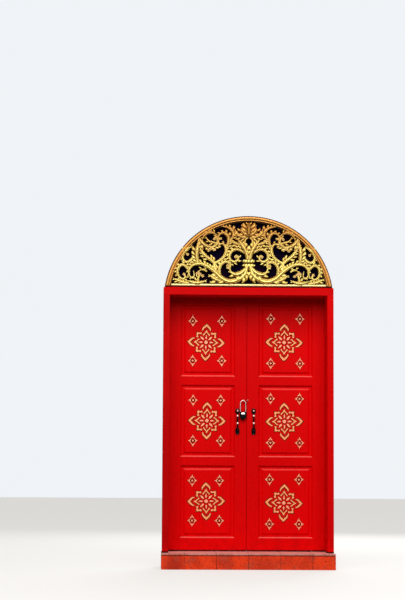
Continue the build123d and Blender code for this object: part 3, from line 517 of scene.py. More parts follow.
def grid_quads(rows, columns):
    """Corners of the cells of a grid of points, row by row, whose last column is joined to the first."""
    row = np.arange(rows - 1)[:, None]
    column = np.arange(columns)[None, :]
    after = (column + 1) % columns
    this = row * columns
    following = this + columns
    corners = [this + column, this + after, following + after, following + column]
    return np.stack(corners, axis=-1).reshape(-1, 4)


def shell(x, y, z, hollow=0.0):
    """A grid of points as vertices, quads and how hollow each vertex is."""
    x, y, z, hollow = np.broadcast_arrays(x, y, z, hollow)
    vertices = np.stack([x, y, z], axis=-1).reshape(-1, 3)
    return vertices, grid_quads(*x.shape), hollow.reshape(-1)


def mirrored(part):
    """The same surface on the other side of the middle."""
    vertices, quads, hollow = part
    return vertices * (-1, 1, 1), quads[:, ::-1], hollow


def moved(part, offset):
    """The same surface moved by an offset."""
    vertices, quads, hollow = part
    return vertices + np.asarray(offset), quads, hollow


def turned_about(part, degrees):
    """The same surface turned about the Y axis through the origin."""
    vertices, quads, hollow = part
    angle = np.radians(degrees)
    turn = np.array([[np.cos(angle), 0, np.sin(angle)], [0, 1, 0], [-np.sin(angle), 0, np.cos(angle)]])
    return vertices @ turn.T, quads, hollow


def toned(part, factor, more):
    """The same surface with its hollow values times a factor and then raised by more."""
    vertices, quads, hollow = part
    return vertices, quads, hollow * factor + more


def piece(name, parts, material, body, replaces=()):
    """One object from several closed surfaces, with its poles merged and its faces turned outwards."""
    starts = np.cumsum([0] + [len(part[0]) for part in parts[:-1]])
    vertices = np.concatenate([part[0] for part in parts])
    quads = np.concatenate([part[1] + start for part, start in zip(parts, starts)])
    mesh = bpy.data.meshes.new(name)
    mesh.from_pydata(vertices, [], quads.tolist())
    field = mesh.attributes.new("hollow", "FLOAT", "POINT")
    field.data.foreach_set("value", np.concatenate([part[2] for part in parts]).astype(np.float32))
    work = bmesh.new()
    work.from_mesh(mesh)
    bmesh.ops.remove_doubles(work, verts=work.verts, dist=MERGE)
    bmesh.ops.recalc_face_normals(work, faces=work.faces)
    work.to_mesh(mesh)
    work.free()
    mesh.shade_smooth()
    thing = bpy.data.objects.new(name, mesh)
    bpy.context.scene.collection.objects.link(thing)
    return dress(thing, material, body, replaces)


def dress(thing, material, body, replaces=()):
    """Gives a piece its material and its body, and hides the nodes that it replaces."""
    thing.data.materials.clear()
    thing.data.materials.append(material)
    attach(thing, body)
    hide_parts(*replaces)
    return thing


def slot_of(node):
    """The record's material slot of a node."""
    return next(row["material_slot"] for row in frame["record"]["subparts"] if row["node"] == node)


# Triangles that meet at a smaller angle than the first become one face, and a larger one than the second
# makes a sharp edge.
FLAT_ANGLE = np.radians(0.4)
SHARP_ANGLE = np.radians(32)


def eased(node, name, material, width=0.0, shortest=0.0):
    """A copy of a node with its triangles joined into faces. With a width, its sharp convex edges that are
    longer than the shortest are worn round."""
    mesh = nodes[node].data.copy()
    mesh.name = name
    for spare in ("custom_normal", "sharp_face", "sharp_edge"):
        if spare in mesh.attributes:
            mesh.attributes.remove(mesh.attributes[spare])
    work = bmesh.new()
    work.from_mesh(mesh)
    bmesh.ops.remove_doubles(work, verts=work.verts, dist=MERGE)
    bmesh.ops.dissolve_limit(work, angle_limit=FLAT_ANGLE, verts=work.verts, edges=work.edges)
    weight = work.edges.layers.float.new("bevel_weight_edge")
    for edge in work.edges:
        sharp = edge.calc_face_angle(0.0) > SHARP_ANGLE
        edge.smooth = not sharp
        if sharp and edge.is_convex and edge.calc_length() > shortest:
            edge[weight] = 1.0
    for face in work.faces:
        face.smooth = True
    work.to_mesh(mesh)
    work.free()
    thing = bpy.data.objects.new(name, mesh)
    bpy.context.scene.collection.objects.link(thing)
    if width > 0:
        bevel = thing.modifiers.new("worn edge", "BEVEL")
        bevel.width = width
        bevel.segments = 2
        bevel.limit_method = "WEIGHT"
        bevel.harden_normals = True
        bevel.use_clamp_overlap = False
    return dress(thing, material, nodes[node]["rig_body"], (node,))


def smooth_line(points, count):
    """Evenly spaced points of a Catmull-Rom curve through the given points, and its length."""
    given = np.asarray(points, float)
    ends = np.vstack([2 * given[0] - given[1], given, 2 * given[-1] - given[-2]])
    t = np.linspace(0, 1, 20, endpoint=False)[:, None]
    p0, p1, p2, p3 = (ends[k : k + len(given) - 1][:, None, :] for k in range(4))
    square = 2 * p0 - 5 * p1 + 4 * p2 - p3
    cube = 3 * p1 - p0 - 3 * p2 + p3
    curve = 2 * p1 + (p2 - p0) * t + square * t**2 + cube * t**3
    curve = np.vstack([curve.reshape(-1, given.shape[1]) / 2, given[-1]])
    travelled = np.concatenate([[0], np.cumsum(np.linalg.norm(np.diff(curve, axis=0), axis=1))])
    even = np.linspace(0, travelled[-1], count)
    line = np.column_stack([np.interp(even, travelled, column) for column in curve.T])
    return line, travelled[-1]


def headed_line(points, count):
    """Evenly spaced points of a smooth line, with the direction that the line has at each and its angle."""
    line, _ = smooth_line(points, count)
    heading = np.gradient(line, axis=0)
    heading /= np.linalg.norm(heading, axis=1)[:, None]
    return line, heading, np.unwrap(np.arctan2(heading[:, 1], heading[:, 0]))


def stroke(points, widths, look, lobe=0.0, lift=0.0):
    """A carved stroke along a smooth line.

    The section is a dome, (1 - |a|^2.6)^0.55 for a across from -1 to 1, over a rounded back. Two flutes run
    beside its spine, and two more on a broad stroke. Lobes swell the outer edge by sin(pi f^1.6), where f is
    the part of a lobe that has passed, and a groove that leans forward parts each lobe from the next."""
    _, length = smooth_line(points, 2)
    rows = max(10, int(length / look.step) + 2)
    line, heading, angle = headed_line(points, rows)
    along = np.linspace(0, 1, rows)
    turn = np.gradient(angle) / (length / (rows - 1))
    half = np.interp(along, np.linspace(0, 1, len(widths)), widths) / 2
    kernel = np.hanning(9)[1:-1]
    padded = np.pad(half, 3, mode="edge")
    half = np.convolve(padded, kernel / kernel.sum(), mode="valid")
    for travelled, cap in ((along * length, half[0]), ((1 - along) * length, half[-1])):
        half = half * np.sqrt(1 - (1 - np.clip(travelled / cap, 0, 1)) ** 2)
    strength = np.clip(half / look.reference, 0, 1.3)[:, None]
    half = half[:, None]

    t_front = np.linspace(0, 1, look.columns)
    t_back = np.linspace(0, 1, look.back_columns + 2)[1:-1]
    a = np.concatenate([-np.cos(np.pi * t_front), np.cos(np.pi * t_back)])[None, :]
    behind = np.concatenate([0 * t_front, np.sin(np.pi * t_back) ** 0.35])[None, :]
    side = np.abs(a)
    outer = 0.5 * (1 - np.tanh(4 * turn[:, None] * half) * np.sign(a))
    ends = np.clip(np.sin(np.pi * along), 0, 1)[:, None] ** 0.5
    lobing = lobe * (0.3 + 0.7 * outer) * ends
    pitch = look.pitch * (0.55 + 0.45 * np.clip(half[:, 0] / look.reference, 0.3, 1.5))
    phase = np.concatenate([[0], np.cumsum(length / (rows - 1) / pitch[1:])])[:, None] - 1.1 * side
    passed = phase % 1
    bump = np.sin(np.pi * passed**1.6)
    reach = half * a * (1 + 0.85 * lobing * (bump - 0.65) * side**3)

    dome = np.clip(1 - side**2.6, 0, 1) ** 0.55
    cut = np.exp(-((np.minimum(passed, 1 - passed) / 0.15) ** 2)) * side**0.7 * lobing
    broad = np.clip((strength - 0.85) * 3, 0, 1)
    flute = np.exp(-(((side - 0.38) / 0.12) ** 2)) + broad * np.exp(-(((side - 0.76) / 0.09) ** 2))
    rise = look.crown * strength**0.75 * dome
    depth = look.groove * strength * cut + look.flute * strength * flute
    front = rise - np.minimum(depth, 0.8 * rise)
    y = np.where(behind > 0, look.thickness * behind, -front)
    y[[0, -1]] = look.thickness / 2
    y = y - lift - 4 * MM * strength * np.sin(np.pi * along)[:, None]
    x = line[:, :1] - heading[:, 1:] * reach
    z = line[:, 1:] + heading[:, :1] * reach
    # The hollow value is painted shade: it darkens the cuts, the flutes, the sloping sides and the back of
    # the stroke.
    hollow = np.clip(0.95 * cut + 0.7 * flute + 0.2 * side**2 + 0.75 * side**7 + behind, 0, 1)
    return shell(x, y, z, hollow)


def leaflets(points, widths, look, gap, lift):
    """Curled leaves that spring from the outer side of a stroke.

    At nearly even distances along the line a short broad stroke leaves it at about 60 degrees on the side
    away from the centre of its curve and bends forward. Every second one then curls back towards the line,
    and the others end in a flame that turns out again. A sine of its number makes each one longer or
    shorter."""
    _, length = smooth_line(points, 2)
    count = int(length * 0.88 / gap)
    last = 200
    line, heading, angle = headed_line(points, last + 1)
    numbers = np.arange(count)
    places = (0.06 + 0.88 * (numbers + 0.5 + 0.12 * np.sin(5 * numbers)) / max(count, 1)) * last
    leaves = []
    for number, place in zip(numbers, places.astype(int)):
        near = slice(max(place - 14, 0), place + 15)
        bend = angle[near][-1] - angle[near][0]
        away = -1.0 if bend > 0 else 1.0
        half = np.interp(place / last, np.linspace(0, 1, len(widths)), widths) / 2
        reach = (9 * MM + 1.2 * half) * (1 + 0.25 * np.sin(7 * number + 1))
        flame = number % 2
        way = angle[place] + away * np.radians([68, 46, 12 + 12 * flame, -52 + 92 * flame])
        steps = reach * np.array([0.42, 0.4, 0.34, 0.22])
        walk = np.cumsum(np.stack([steps * np.cos(way), steps * np.sin(way)], axis=1), axis=0)
        out = np.array([-heading[place, 1], heading[place, 0]]) * away * half * 0.3
        path = np.vstack([line[place] + out, line[place] + out + walk])
        if path[:, 1].min() < look.foot:
            continue
        spans = np.array([0.9, 1.4, 1.7, 1.2, 0.35]) * (half * 0.66 + 3.4 * MM)
        leaves.append(stroke(path, spans, look, 0.0, lift - (number % 2) * 1.5 * MM))
    return leaves


class Relief:
    """The sizes of one kind of stroke in metres: those of the carving's form times the given factors, how
    many points its section has in front and behind, and how low a leaf may reach."""

    def __init__(self, form, columns, back_columns, step=1.0, crown=1.0, groove=1.0, foot=0.0):
        self.step = form.step * step
        self.crown = form.crown * crown
        self.reference = form.reference
        self.thickness = form.thickness
        self.pitch = form.pitch
        self.groove = form.groove * groove
        self.flute = form.flute
        self.columns = columns
        self.back_columns = back_columns
        self.foot = foot


# Strokes of the carving on one side, in millimetres: centre-line points outward and up from the middle
# of the sill, widths from root to tip, how deeply the edge is lobed, and how far it stands forward.
STROKES = [
    ([(14, 172), (22, 122), (46, 82), (92, 48), (150, 36), (206, 56), (262, 106), (322, 152), (382, 176),
      (440, 168), (474, 130), (474, 88), (450, 62), (434, 84), (440, 124)], (26, 42, 30, 22, 8), 0.5, 3),
    ([(256, 100), (272, 146), (270, 194)], (26, 28, 26), 0.3, 1),
    ([(264, 176), (300, 206), (345, 240), (378, 284), (398, 334)], (24, 28, 14), 0.8, 2),
    ([(274, 182), (236, 200), (202, 228), (182, 268), (184, 312), (208, 338), (236, 330), (238, 308)],
     (24, 26, 12), 0.8, 2),
    ([(402, 168), (412, 225), (414, 270), (406, 320), (396, 384)], (22, 36, 3), 0.7, 5),
    ([(408, 318), (434, 254), (456, 208), (492, 188), (520, 206), (526, 238), (510, 264), (488, 256)],
     (12, 25, 14), 0.8, 0),
    ([(528, 222), (512, 268), (478, 302), (438, 316)], (12, 30, 3), 0.9, 2),
    ([(470, 104), (492, 146), (526, 168), (556, 152), (568, 112), (556, 74), (526, 54), (504, 70), (514, 96)],
     (18, 27, 14), 0.8, 0),
    ([(470, 22), (530, 30), (566, 44), (606, 64)], (16, 32, 4), 0.9, 3),
    ([(492, 44), (430, 26), (380, 28), (330, 50)], (5, 34, 5), 0.9, 4),
    ([(190, 30), (250, 46), (290, 70), (322, 92)], (14, 36, 3), 0.9, 5),
    ([(404, 24), (402, 58), (392, 88)], (22, 20, 14), 0.5, 1),
    ([(330, 112), (352, 128), (378, 130), (396, 116)], (16, 20, 6), 0.5, 0),
    ([(224, 66), (236, 120), (226, 164), (196, 192), (164, 190), (146, 168), (156, 144), (180, 146)],
     (24, 28, 14), 0.8, 1),
    ([(22, 142), (60, 106), (100, 92), (136, 106), (152, 134)], (26, 42, 4), 0.9, 6),
    ([(20, 258), (66, 286), (108, 294), (142, 274), (156, 238), (144, 206), (112, 196), (86, 214), (88, 240),
      (108, 246)], (20, 26, 14), 0.8, 1),
    ([(6, 205), (16, 256), (36, 304), (68, 350), (106, 388)], (28, 32, 5), 0.6, 4),
    ([(6, 262), (27, 304), (33, 344), (23, 378), (-4, 394)], (14, 17, 17), 0.2, 1),
    ([(0, 386), (0, 430), (0, 514)], (20, 48, 4), 0.5, 5),
    ([(2, 400), (36, 420), (54, 452), (40, 490)], (20, 32, 3), 0.7, 3),
    ([(14, 386), (64, 396), (98, 424), (114, 466)], (18, 32, 3), 0.8, 2),
    ([(52, 330), (96, 338), (128, 356), (136, 384)], (14, 28, 3), 0.8, 2),
    ([(184, 292), (164, 344), (162, 392), (190, 424), (226, 420), (244, 392), (226, 372)],
     (18, 28, 12), 0.8, 0),
    ([(166, 352), (130, 388), (124, 432), (158, 466), (232, 482)], (12, 30, 4), 0.9, 2),
    ([(402, 398), (376, 352), (344, 322), (290, 306)], (4, 34, 20), 0.9, 2),
    ([(312, 300), (266, 322), (246, 352), (256, 384), (282, 384)], (20, 24, 12), 0.8, 0),
    ([(238, 398), (300, 430), (346, 412), (376, 362)], (4, 30, 6), 0.9, 2),
    ([(212, 336), (300, 352), (330, 372), (346, 404)], (8, 22, 4), 0.8, 1),
]
# Buds by place outward and up and radius, and collars by height, half length and radius, in millimetres.
BUDS = [
    (300, 304, 20), (276, 292, 15), (320, 286, 15), (388, 92, 15), (366, 80, 13), (410, 98, 13),
    (398, 112, 11), (166, 162, 15), (104, 234, 14), (514, 92, 13), (486, 250, 12), (234, 316, 12),
    (446, 66, 12), (274, 376, 12), (224, 380, 11),
]
COLLARS = [(200, 50, 17), (166, 52, 14)]
# Width in millimetres that the contrast leaves as it is, the least lobing of a stroke that bears leaves, and
# how far in millimetres the leaves stay above the bead.
EVEN_WIDTH = 34
LEAFY = 0.4
LEAF_CLEARANCE = 5


def bud(x, z, radius):
    """A rosette: a polar grid whose rim swells five times round, with a ring groove and a middle knob."""
    ring = np.linspace(0, 1, 11)[:, None]
    angle = np.linspace(0, 2 * np.pi, 35, endpoint=False)[None, :]
    petal = np.abs(np.cos(2.5 * angle + x))
    rim = radius * (0.8 + 0.25 * petal)
    out = np.minimum(ring / 0.9, 1)
    dome = np.sqrt(np.clip(1 - out**2.4, 0, 1))
    ditch = np.exp(-(((out - 0.42) / 0.12) ** 2))
    seam = (1 - petal) ** 2 * out * (1 - out) * 2.4
    front = radius * (0.75 * dome - 0.3 * ditch - 0.35 * seam)
    y = np.where(ring > 0.95, radius * 0.7, -front)
    scale = np.where(ring > 0.95, 0.0, out)
    # Painted shade in the ring groove and the seams and towards the rim.
    hollow = np.clip(ditch * 0.8 + seam * 0.9 + out**8 * 0.7, 0, 1)
    return shell(x + rim * scale * np.cos(angle), y, z + rim * scale * np.sin(angle), hollow)


def collar(z, half, radius):
    """A bound ring across the axis: an ellipse in section with rounded ends, wound with rope lobes whose
    height is |sin(4.5 pi t + angle / 2)|^0.6 for t along it from 0 to 1."""
    along = np.linspace(0, 1, 121)[:, None]
    angle = np.linspace(0, 2 * np.pi, 28, endpoint=False)[None, :]
    end = np.sqrt(np.clip(1 - np.abs(2 * along - 1) ** 5, 0, 1))
    wound = np.abs(np.sin(4.5 * np.pi * along + angle / 2)) ** 0.6
    section = radius * end * (0.76 + 0.24 * wound)
    x = half * (2 * along - 1) + 0 * angle
    # Painted shade between the rope lobes and towards the ends.
    hollow = np.clip((1 - wound) ** 2 * 1.1 + (1 - end) * 0.6, 0, 1)
    return shell(x, 2 * MM - 0.95 * section * np.sin(angle), z + section * np.cos(angle), hollow)


def sweep_arc(radius_in, radius_out, centre_z, level, profile):
    """A profile of (outward share, forward distance) points carried round an arc. The arc starts and ends
    where its circle crosses the level."""
    out, forward = np.transpose(profile)[:, None, :]
    radius = radius_in + out * (radius_out - radius_in)
    start = np.arcsin(np.clip((level - centre_z) / radius, -1, 1))
    along = np.linspace(0, 1, 180)[:, None]
    angle = start + along * (np.pi - 2 * start)
    return radius * np.cos(angle), -forward + 0 * angle, centre_z + radius * np.sin(angle)


def capped(x, y, z, hollow=0.0):
    """A closed tube from rings of points, each end drawn together to the middle of its ring."""
    whole = []
    for part in np.broadcast_arrays(x, y, z, hollow):
        first, last = (np.full((1, part.shape[1]), row.mean()) for row in (part[0], part[-1]))
        whole.append(np.vstack([first, part, last]))
    return shell(*whole)


def lathe(profile, centre, axis, columns):
    """A turned piece: (radius, place) points along the axis, turned round it."""
    line = np.asarray(profile, float)
    radius = np.clip(line[:, 0], 0, None)[:, None]
    place = line[:, 1][:, None]
    angle = np.linspace(0, 2 * np.pi, columns, endpoint=False)[None, :]
    one = radius * np.cos(angle)
    two = radius * np.sin(angle)
    three = place + 0 * angle
    if axis == "Z":
        return shell(centre[0] + one, centre[1] + two, centre[2] + three)
    return shell(centre[0] + one, centre[1] + three, centre[2] + two)


# Brush streaks in a metre along X, Y and Z.
UPRIGHT_GRAIN = (260, 260, 5)
LEVEL_GRAIN = (5, 260, 260)
PANEL_GRAIN = (200, 200, 4)


class DOORS_OT_timber(Operator):
    """Frame and leaves: lacquered copies of the timber with worn edges"""

    bl_idname = "doors.timber"
    bl_label = "Timber"

    def execute(self, context):
        settings = context.scene.doors
        look = settings.lacquer
        ease = settings.timber.ease
        shortest = settings.timber.shortest
        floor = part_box("tread_tiles")[1].z
        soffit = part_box("frame_head")[0].z
        # Ledges close under the head get no painted highlight, so the painted shade under the head stays.
        head_shade_span = (soffit - 0.25, soffit - 0.1)
        # The left jamb takes a darker red as painted shade.
        jamb = lacquer("lacquer_jamb", look, look.shaded_jamb_red, UPRIGHT_GRAIN, floor, head_shade_span)
        upright = lacquer("lacquer_upright", look, look.red, UPRIGHT_GRAIN, floor, head_shade_span)
        level = lacquer("lacquer_level", look, look.red, LEVEL_GRAIN, floor, head_shade_span)
        head = lacquer("lacquer_head", look, look.head_red, LEVEL_GRAIN, floor, head_shade_span)
        panel = lacquer("lacquer_panel", look, look.panel_red, PANEL_GRAIN, floor, head_shade_span)
        # The arch and the sill are painted near black as a painted shadow.
        dark = plain_paint("dark_paint", look.dark, look.shade, 0.6, gloss=0.04)
        for node in sorted(nodes):
            slot = slot_of(node)
            if slot == "panel_lacquer":
                eased(node, f"{node}_lacquered", panel, ease, shortest)
            elif slot == "dark_lacquer":
                eased(node, f"{node}_painted", dark, ease, shortest)
            elif slot == "red_lacquer":
                own = {"frame_head": head, "left_jamb": jamb}
                paint = own.get(node, level if node.endswith("rail") else upright)
                eased(node, f"{node}_lacquered", paint, ease, shortest)
        return {"FINISHED"}


class DOORS_OT_step(Operator):
    """Tiled step: clay tiles with worn edges on a mortar core"""

    bl_idname = "doors.step"
    bl_label = "Step"

    def execute(self, context):
        form = context.scene.doors.timber
        look = context.scene.doors.clay
        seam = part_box("riser_tiles")[1].z - look.seam
        riser = clay("riser_clay", look, look.riser, look.riser_bright, seam=seam)
        tread = clay("tread_clay", look, look.tread, look.tread_wear_and_sheen, look.tread_wear_and_sheen)
        mortar = plain_paint("mortar", look.mortar, look.mortar, 0.9, 30.0)
        eased("riser_tiles", "riser_tiles_fired", riser, form.tile_ease, form.tile_shortest)
        eased("tread_tiles", "tread_tiles_fired", tread, form.tile_ease, form.tile_shortest)
        eased("step_core", "step_core_mortar", mortar)
        return {"FINISHED"}


class DOORS_OT_carving(Operator):
    """Lunette carving: scrolls, leaves, buds and collars"""

    bl_idname = "doors.carving"
    bl_label = "Carving"

    def execute(self, context):
        settings = context.scene.doors
        form = settings.carving
        look = settings.gilding
        low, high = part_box("carved_screen")
        base = (0, low.y + form.recess, low.z)
        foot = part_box("bottom_bead")[1].z - low.z + LEAF_CLEARANCE * MM
        broad = Relief(form, 21, 3)
        fine = Relief(form, 13, 2, step=1.2, crown=1.15, groove=0.0, foot=foot)
        scrolls = []
        leaves = []
        for points, widths, lobe, lift in STROKES:
            line = np.array(points) * MM
            lift = lift * MM
            spans = EVEN_WIDTH * MM * (np.array(widths) / EVEN_WIDTH) ** form.contrast * form.fullness
            scrolls.append(stroke(line, spans, broad, lobe, lift))
            if lobe > LEAFY:
                leaves += leaflets(line, spans, fine, form.leaf_gap, lift)
        buds = [bud(x * MM, z * MM, radius * MM) for x, z, radius in BUDS]
        rings = [moved(collar(z * MM, half * MM, radius * MM), base) for z, half, radius in COLLARS]
        # Painted shade over the upper part of the carving, under the arch.
        rise = high.z - low.z
        under = (low.z + 0.35 * rise, low.z + 0.95 * rise)
        carved = gold("carved_gilding", look, look.light, look.middle, arch_shade_span=under)
        warm = gold("bud_gilding", look, look.bud, look.bud)
        kinds = (("carving", scrolls, carved), ("leaves", leaves, carved), ("buds", buds, warm))
        for side, sign in SIDES:
            for kind, parts, paint in kinds:
                own = [moved(part, base) for part in parts]
                own = [mirrored(part) for part in own] if sign < 0 else own
                piece(f"{kind}_{side}", own, paint, "doorway", ("carved_screen",))
        piece("carving_collars", rings, carved, "doorway", ("carved_screen",))
        return {"FINISHED"}


# Width of the arch moulding, and how far the rim of the carving shows inside it, in millimetres.
ARCH_WIDTH = 36
RIM_WIDTH = 6
# Section of the arch moulding as shares of its width, from the carving outwards, and of its depth.
ARCH_SECTION = [
    (0, 0), (0.06, 0.22), (0.2, 0.5), (0.34, 0.42), (0.4, 0.2), (0.43, 0.28), (0.5, 0.72), (0.62, 0.95),
    (0.72, 1.0), (0.84, 0.92), (0.95, 0.6), (1, 0.2), (1, 0),
]


def circle_over(low, high):
    """Radius, and height of the centre, of the circle through the foot and the crown of an arched box."""
    rise = high.z - low.z
    radius = (high.x**2 + rise**2) / (2 * rise)
    return radius, high.z - radius


class DOORS_OT_mouldings(Operator):
    """Arch moulding, bead, rim and board of the lunette"""

    bl_idname = "doors.mouldings"
    bl_label = "Mouldings"

    def execute(self, context):
        settings = context.scene.doors
        look = settings.gilding
        low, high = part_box("arch_moulding")
        outer, centre = circle_over(low, high)
        inner = outer - ARCH_WIDTH * MM
        shares, fronts = smooth_line(ARCH_SECTION, 30)[0].T
        profile = np.column_stack([shares, fronts * (high.y - low.y) - high.y])
        # Painted shade: the low parts of the section and its inner side turn darker, as under light from
        # above and outside.
        hollow = np.clip(np.maximum(1.35 - 2.2 * fronts, 0.6 - shares), 0, 0.95)[None, :]
        x, y, z = sweep_arc(inner, outer, centre, low.z, profile)
        moulding = capped(x, y, z, hollow)
        arch = gold("arch_gilding", look, look.arch, look.arch, 0.3)
        piece("arch_moulding_gilded", [moulding], arch, "doorway", ("arch_moulding",))

        low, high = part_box("bottom_bead")
        angle = np.linspace(0, np.pi, 15)[None, :]
        along = np.linspace(low.x, high.x, 90)[:, None]
        wave = 1 + 0.02 * np.sin(along * 130) + 0.02 * np.sin(along * 57)
        middle = (low.z + high.z) / 2
        y = high.y - (high.y - low.y) * np.sin(angle) * wave
        z = middle - (high.z - low.z) / 2 * np.cos(angle) + 0 * along
        bead = capped(along + 0 * angle, y, z)
        pale = gold("bead_gilding", look, look.bead, look.bead, 0.34, False)
        piece("bottom_bead_gilded", [bead], pale, "doorway", ("bottom_bead",))

        low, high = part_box("carved_screen")
        outer, centre = circle_over(low, high)
        front = low.y + settings.carving.recess
        band = [(0, -high.y), (0, -front), (1, -front), (1, -high.y)]
        x, y, z = sweep_arc(inner - RIM_WIDTH * MM, outer, centre, low.z, band)
        # Painted shade: the rim and the bar take the dark tone, for the shadow at the edges of the carving.
        rim = capped(x, y, z, 0.7)
        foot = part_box("bottom_bead")[1].z
        corners = np.array([(front, low.z), (front, foot), (high.y, foot), (high.y, low.z)])
        reach = np.array([-high.x, high.x])[:, None]
        bar = capped(reach, corners[None, :, 0], corners[None, :, 1], 0.7)
        carved = gold("rim_gilding", look, look.middle, look.middle)
        piece("carving_rim", [rim, bar], carved, "doorway", ("carved_screen",))
        navy = plain_paint("navy_paint", settings.clay.navy, settings.lacquer.dark, 0.7, 4.0, 0.02)
        eased("backing_board", "backing_board_painted", navy)
        return {"FINISHED"}


# Gilded forms by their turn in degrees and their edges in millimetres across and along the axis. A petal of
# the medallion has one edge from foot to tip, and its second edge is the mirror image of it. A chevron, and a
# petal of a flower, have both edges on one side and are joined to their mirror image along the axis.
PETALS = (
    (0, [(0, 27), (5.5, 30), (8.2, 36), (8, 42), (5.4, 50), (2.5, 57), (0, 61.5)]),
    (45, [(0, 27.5), (5.5, 31), (9, 38), (10.2, 46), (7.6, 55), (3.4, 63), (0, 69)]),
)
CHEVRONS = (
    (0, [(0, 153), (8, 146), (18.5, 136), (29, 124), (35, 115), (37, 105.5), (35.5, 96.5), (31.5, 91)],
     [(0, 124.5), (8, 117), (17, 109), (22.5, 102), (26.5, 94.5), (31.5, 91)]),
    (0, [(0, 106), (6.5, 94), (12, 83), (18, 75), (29, 66), (30.5, 60), (27, 54), (22.7, 51.6)],
     [(0, 76.5), (5, 70), (10, 66), (14.5, 60.5), (17.5, 55), (22.7, 51.6)]),
    (45, [(0, 115), (9.5, 106), (14.3, 97.5), (18.4, 92), (25.2, 91.3), (30.3, 88.8), (29.4, 82.3),
          (25, 77), (17.5, 73)],
     [(0, 86.5), (4.5, 85.5), (8.5, 80.3), (12, 74.3), (17.5, 73)]),
)
FLOWER = (
    (0, [(0, 50), (3.2, 42), (6, 34.5), (11, 29), (16, 25), (16.5, 21.5), (12.5, 18.8)],
     [(0, 25.5), (5, 23), (9, 20), (12.5, 18.8)]),
    (90, [(0, 40), (4, 33), (8.5, 26), (13.5, 20.5), (16, 17), (13.5, 13.8)],
     [(0, 20), (4, 18.2), (9, 15), (13.5, 13.8)]),
)
# Radii of the middle buttons in millimetres: of a medallion, then of a flower and of the line round it.
MEDALLION_BUTTON = 15.6
FLOWER_BUTTONS = (8, 10.5)
# How hollow the chevrons are all over, and how much of its hollows a flower keeps.
CHEVRON_TONE = 0.28
FLOWER_TONE = 0.5
EDGE_POINTS = 26
# Places of the hand-set ornaments in millimetres from the middle of each panel: the medallion's own shift
# and turn, then the shift of its four flowers and how far they stand to the sides and up or down.
SETTING = {
    "left_bottom": ((-9, 2), -1.0, (-12, 7), (109, 159)),
    "left_middle": ((-6, 0), 1.0, (-7, 2), (111, 162)),
    "left_top": ((-16, -14), 2.0, (-6, -2), (117, 160)),
    "right_bottom": ((-13, -9), 2.0, (-10, 0), (118, 177)),
    "right_middle": ((-9, -3), -1.0, (-4, 3), (117, 177)),
    "right_top": ((-11, -11), 1.0, (-2, 0), (118, 180)),
}


def plate(outer, inner, form, painted, folded=False):
    """A low gilded form between two edge lines, or the painted line that shows round it. A folded one is
    joined to its mirror image along the axis.

    Each point lies on the straight line between the edges at the same share of their lengths. The front
    rises by relief times (1 - |a|^6)^0.5 for a across from -1 to 1, and the back lies sunk in the panel.
    The painted line reaches beyond each edge by its width w times s / (s + w), where s is the width of the
    form itself."""
    first, second = (smooth_line(np.array(edge) * MM, EDGE_POINTS)[0] for edge in (outer, inner))
    if folded:
        first, second = (np.vstack([edge[:0:-1] * (-1, 1), edge]) for edge in (first, second))
    columns = 3 if painted else 9
    a = np.concatenate([np.sin(np.linspace(-0.5, 0.5, columns) * np.pi), [1, -1]])[None, :]
    across = first - second
    span = np.linalg.norm(across, axis=1)[:, None]
    reach = form.slimness
    if painted:
        reach = 1 + 2 * form.line / (span + form.line)
    relief = form.line_relief if painted else form.relief
    share = 0.5 + reach * a / 2
    x = second[:, :1] + share * across[:, :1]
    z = second[:, 1:] + share * across[:, 1:]
    y = -relief * np.clip(1 - np.abs(a) ** 6, 0, 1) ** 0.5 + 0 * x
    if painted:
        y[:, :columns] = -relief
    y[[0, -1]] = 0
    y[:, -2:] = form.sunk
    return shell(x, y, z, np.abs(a) ** 5 * 0.85)


def button(radius, form, painted, wave=0.0):
    """A low domed disc with a dimple: rings whose rim swells four times round by the wave's share."""
    ring = np.linspace(0, 1, 10)[:, None]
    angle = np.linspace(0, 2 * np.pi, 32, endpoint=False)[None, :]
    scale = np.where(ring > 0.95, 0, np.minimum(ring / 0.875, 1))
    relief = form.line_relief if painted else form.relief
    reach = (radius + painted * form.line) * (1 + wave * np.cos(4 * angle)) * scale
    dome = np.sqrt(np.clip(1 - scale**6, 0, 1)) - 0.5 * np.exp(-((scale / 0.25) ** 2))
    y = np.where(ring > 0.95, form.sunk, -relief * (np.minimum(1, 8 - 8 * scale) if painted else dome))
    return shell(reach * np.cos(angle), y, reach * np.sin(angle), scale**8 * 0.5)


